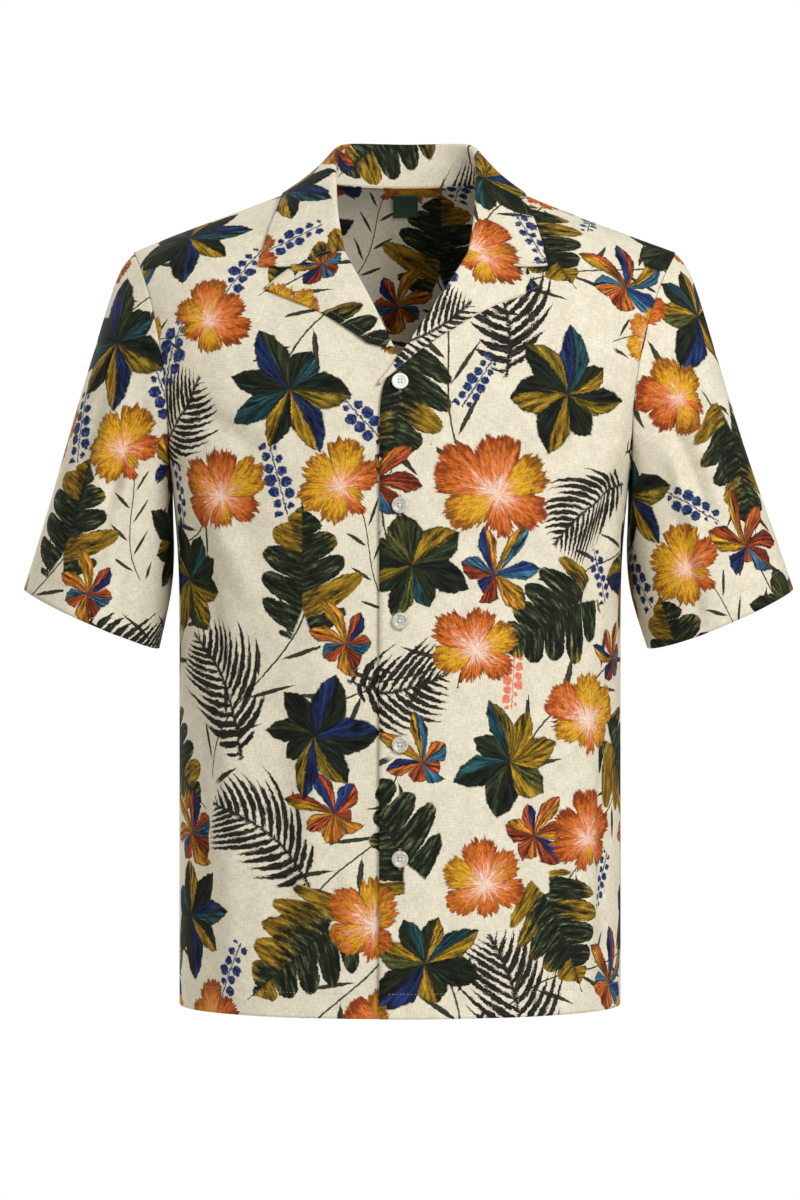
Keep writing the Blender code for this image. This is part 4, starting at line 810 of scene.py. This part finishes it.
def button_blank():
    """A button face up on +Z, with the floor of its well at the origin."""
    blank = bmesh.new()
    bmesh.ops.create_circle(blank, segments=WELL_SIDES, radius=WELL_RADIUS)
    ring = blank.edges[:]
    for x, y in ((1, 1), (1, -1), (-1, 1), (-1, -1)):
        bmesh.ops.create_circle(blank, segments=HOLE_SIDES, radius=HOLE_RADIUS,
                                matrix=Matrix.Translation((x * HOLE_OUT, y * HOLE_OUT, 0)))
    holes = [edge for edge in blank.edges if edge not in ring]
    bmesh.ops.triangle_fill(blank, use_beauty=True, edges=ring + holes, normal=(0, 0, 1))
    radius, height = WELL_RADIUS, 0.0
    for wide, high in RIM_PROFILE:
        new = bmesh.ops.extrude_edge_only(blank, edges=ring)["geom"]
        verts = [item for item in new if isinstance(item, bmesh.types.BMVert)]
        bmesh.ops.scale(blank, vec=(wide / 1000 / radius, wide / 1000 / radius, 1), verts=verts)
        bmesh.ops.translate(blank, vec=(0, 0, high / 1000 - height), verts=verts)
        ring = [item for item in new if isinstance(item, bmesh.types.BMEdge)]
        radius, height = wide / 1000, high / 1000
    new = bmesh.ops.extrude_edge_only(blank, edges=holes)["geom"]
    bmesh.ops.translate(blank, vec=(0, 0, height), verts=[v for v in new if isinstance(v, bmesh.types.BMVert)])
    holes = [item for item in new if isinstance(item, bmesh.types.BMEdge)]
    bmesh.ops.triangle_fill(blank, use_beauty=True, edges=ring + holes, normal=(0, 0, -1))
    bmesh.ops.recalc_face_normals(blank, faces=blank.faces)
    return blank


def shell(title, dark, light):
    """Polished shell: cloudy grey-cream bands of about 3 mm under a clear gloss."""
    material, shader = new_material(title, {"Roughness": 0.24, "IOR": 1.53, "Coat Weight": 0.35,
                                            "Coat Roughness": 0.1})
    place = add("TexCoord", out="Object")
    bands = add("TexNoise", {"Vector": place, "Scale": 320.0, "Detail": 2.0, "Distortion": 1.2})
    cloudy = add("ValToRGB", [bands], stops=[(0.35, dark), (0.65, light)])
    tree.links.new(cloudy, shader["Base Color"])
    return material


shell_white = shell("polished_white_shell", "#E4E2DC", "#F4F3EF")
shell_grey = shell("polished_grey_shell", "#A9A9A0", "#D6D4CA")
# Mercerised cotton: white, close and matt.
thread_white, _ = new_material("white_button_thread", {"Base Color": hex_colour("#ECE8DE"), "Roughness": 0.6})

WELL_DOWN = 0.0008                # the well's floor under the highest point of the button
SHARP = math.radians(50)          # only the holes' edges stay crisp
CROSS = Vector((0.0021, 0.00034, 0.0003))         # half a thread over the well, two of them crossed
SHANK_RADIUS, SHANK_LENGTH, SHANK_DOWN = 0.0011, 0.0018, 0.0024
crosses = bmesh.new()
button_places = []
for number in range(1, 6):
    name = f"button_{number}"
    verts = values(nodes[name].data.vertices, "co", 3)
    middle = Vector((verts.min(axis=0) + verts.max(axis=0)) / 2)
    facing = Vector(np.linalg.eigh(np.cov((verts - verts.mean(axis=0)).T))[1][:, 0])
    facing = -facing if facing.y > 0 else facing
    top = max((vert - np.array(middle)) @ np.array(facing) for vert in verts)
    across = facing.cross(Vector((0, 0, 1))).normalized() * -1
    turn = Matrix((across, facing.cross(across), facing)).transposed().to_4x4()
    place = Matrix.Translation(middle + facing * (top - WELL_DOWN)) @ turn
    button_places.append(place)
    blank = button_blank()
    blank.transform(place)
    piece = add_piece("shell_" + name, blank, shell_white if number == 1 else shell_grey)
    piece.data.set_sharp_from_angle(angle=SHARP)
    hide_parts(name)
    for angle in (math.pi / 4, -math.pi / 4):
        bmesh.ops.create_icosphere(crosses, subdivisions=2, radius=1.0, matrix=place
                                   @ Matrix.Rotation(angle, 4, "Z") @ Matrix.Diagonal(CROSS).to_4x4())
    bmesh.ops.create_cone(crosses, cap_ends=True, segments=HOLE_SIDES, radius1=SHANK_RADIUS,
                          radius2=SHANK_RADIUS, depth=SHANK_LENGTH,
                          matrix=place @ Matrix.Translation((0, 0, -SHANK_DOWN)))
add_piece("button_threads", crosses, thread_white)

# ------------------------------------------------------------- buttonholes
# Upright buttonholes, 17 mm long, worked in close cream satin stitch. Only
# their two ends show above and below each button.
HOLE_HALF, SATIN_PITCH, SATIN_SIDE, SATIN_ROWS = 0.0088, 0.00042, 0.0007, 9
SATIN = Vector((0.0007, 0.0002, 0.00022))
CLOTH_DOWN = 0.002                # the cloth under the well of a button
form = bmesh.new()
form.from_mesh(cloth["front_left"].data)
surface = BVHTree.FromBMesh(form)
form.free()
satin = bmesh.new()
for place in button_places:
    for end in (-1, 1):
        for row in range(SATIN_ROWS):
            for side in (-1, 1):
                point, up, _, _ = surface.find_nearest(
                    place @ Vector((side * SATIN_SIDE, end * (HOLE_HALF - row * SATIN_PITCH), -CLOTH_DOWN)))
                along = Vector((1, 0, 0))
                along = (along - up * along.dot(up)).normalized()
                stitch(satin, point, (along, up.cross(along), up), SATIN)
add_piece("buttonhole_ends", satin, thread_cream)

# ------------------------------------------------------------------- label
# A plain dark green damask tab, 22 by 30 mm, woven in polyester, folded at
# its edges and sewn by hand to the inside of the yoke.
LABEL_HEART, LABEL_SIZE = Vector((0.0, 0.25, -0.1)), (0.022, 0.030)
BAND = 0.000617

# Damask: a close satin weave with a faint shine and fine bands across it. Its
# threads of 0.25 mm are drawn 0.6 mm wide, light and dark by turns, so that they show.
label_weave, label_shader = new_material("damask_woven_label", {"Roughness": 0.55})
place = add("TexCoord", out="Object")
threads = add("TexWave", {"Vector": place, "Scale": math.pi / (20 * BAND), "Distortion": 0.4},
              bands_direction="Z")
tone = add("ValToRGB", [threads], stops=[(0.0, "#183A2C"), (1.0, "#27523F")])
tree.links.new(tone, label_shader["Base Color"])

piece = add_piece("cloth_label", show_side(nodes["label"], LABEL_HEART, False, 0.0))
round_off(piece)
make_up(piece, label_weave, THIN)
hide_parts("label")

# ------------------------------------------------------------------ studio
# A white room with a pale paper floor that fades out at its rim, a square soft
# lamp at the upper right, a weak one to fill from the left, and one behind.
CAMERA_PLACE, LENS, SENSOR = (0.0, -3.4, -0.3645), 117.6, 36.0
camera = bpy.data.cameras.new("camera")
camera.lens, camera.sensor_width = LENS, SENSOR
view = bpy.data.objects.new("camera", camera)
view.location, view.rotation_euler = CAMERA_PLACE, (math.pi / 2, 0.0, 0.0)
bpy.context.scene.collection.objects.link(view)
bpy.context.scene.camera = view

# Uncoated white paper: quite matt.
FLOOR_Z, FLOOR_RADIUS, FLOOR_SIDES, FADES_FROM = -1.05, 1.05, 96, 0.4
paper, paper_shader = new_material("white_paper", {"Base Color": hex_colour("#F6F6F6"), "Roughness": 0.9})
place = add("VectorMath", [add("TexCoord", out="Object"), (1.0, 1.0, 0.0)], "MULTIPLY")
from_middle = add("VectorMath", [place], "LENGTH", out=1)
fade = add("MapRange", [from_middle, FADES_FROM * FLOOR_RADIUS, FLOOR_RADIUS, 1.0, 0.0],
           interpolation_type="SMOOTHSTEP")
tree.links.new(fade, paper_shader["Alpha"])
disc = bmesh.new()
bmesh.ops.create_circle(disc, cap_ends=True, segments=FLOOR_SIDES, radius=FLOOR_RADIUS,
                        matrix=Matrix.Translation((0, 0, FLOOR_Z)))
mesh = bpy.data.meshes.new("paper_floor")
disc.to_mesh(mesh)
disc.free()
mesh.materials.append(paper)
floor = bpy.data.objects.new("paper_floor", mesh)
bpy.context.scene.collection.objects.link(floor)

# lamp, pointed at the body: place, side, watts
LAMPS = {"key": ((1.6, -2.6, 1.3), 1.3, 80), "fill": ((-2.2, -2.8, 0.0), 2.2, 9),
         "back": ((-2.2, 2.4, 1.4), 1.8, 60)}
for name, (place, side, watts) in LAMPS.items():
    lamp = bpy.data.lights.new(name, "AREA")
    lamp.shape, lamp.size, lamp.energy = "SQUARE", side, watts
    holder = bpy.data.objects.new(name, lamp)
    holder.location = place
    holder.rotation_euler = (BODY - Vector(place)).to_track_quat("-Z", "Y").to_euler()
    bpy.context.scene.collection.objects.link(holder)
world = bpy.data.worlds.new("studio")
world.use_nodes = True
tree = world.node_tree
room = add("Background", {"Color": hex_colour("#F8F4EA"), "Strength": 0.50})
backdrop = add("Background", {"Color": (1.0, 1.0, 1.0, 1.0), "Strength": 1.0})
seen = add("MixShader", [add("LightPath"), room, backdrop])
tree.links.new(seen, tree.nodes["World Output"].inputs["Surface"])
bpy.context.scene.world = world
bpy.context.scene.view_settings.view_transform = "Standard"
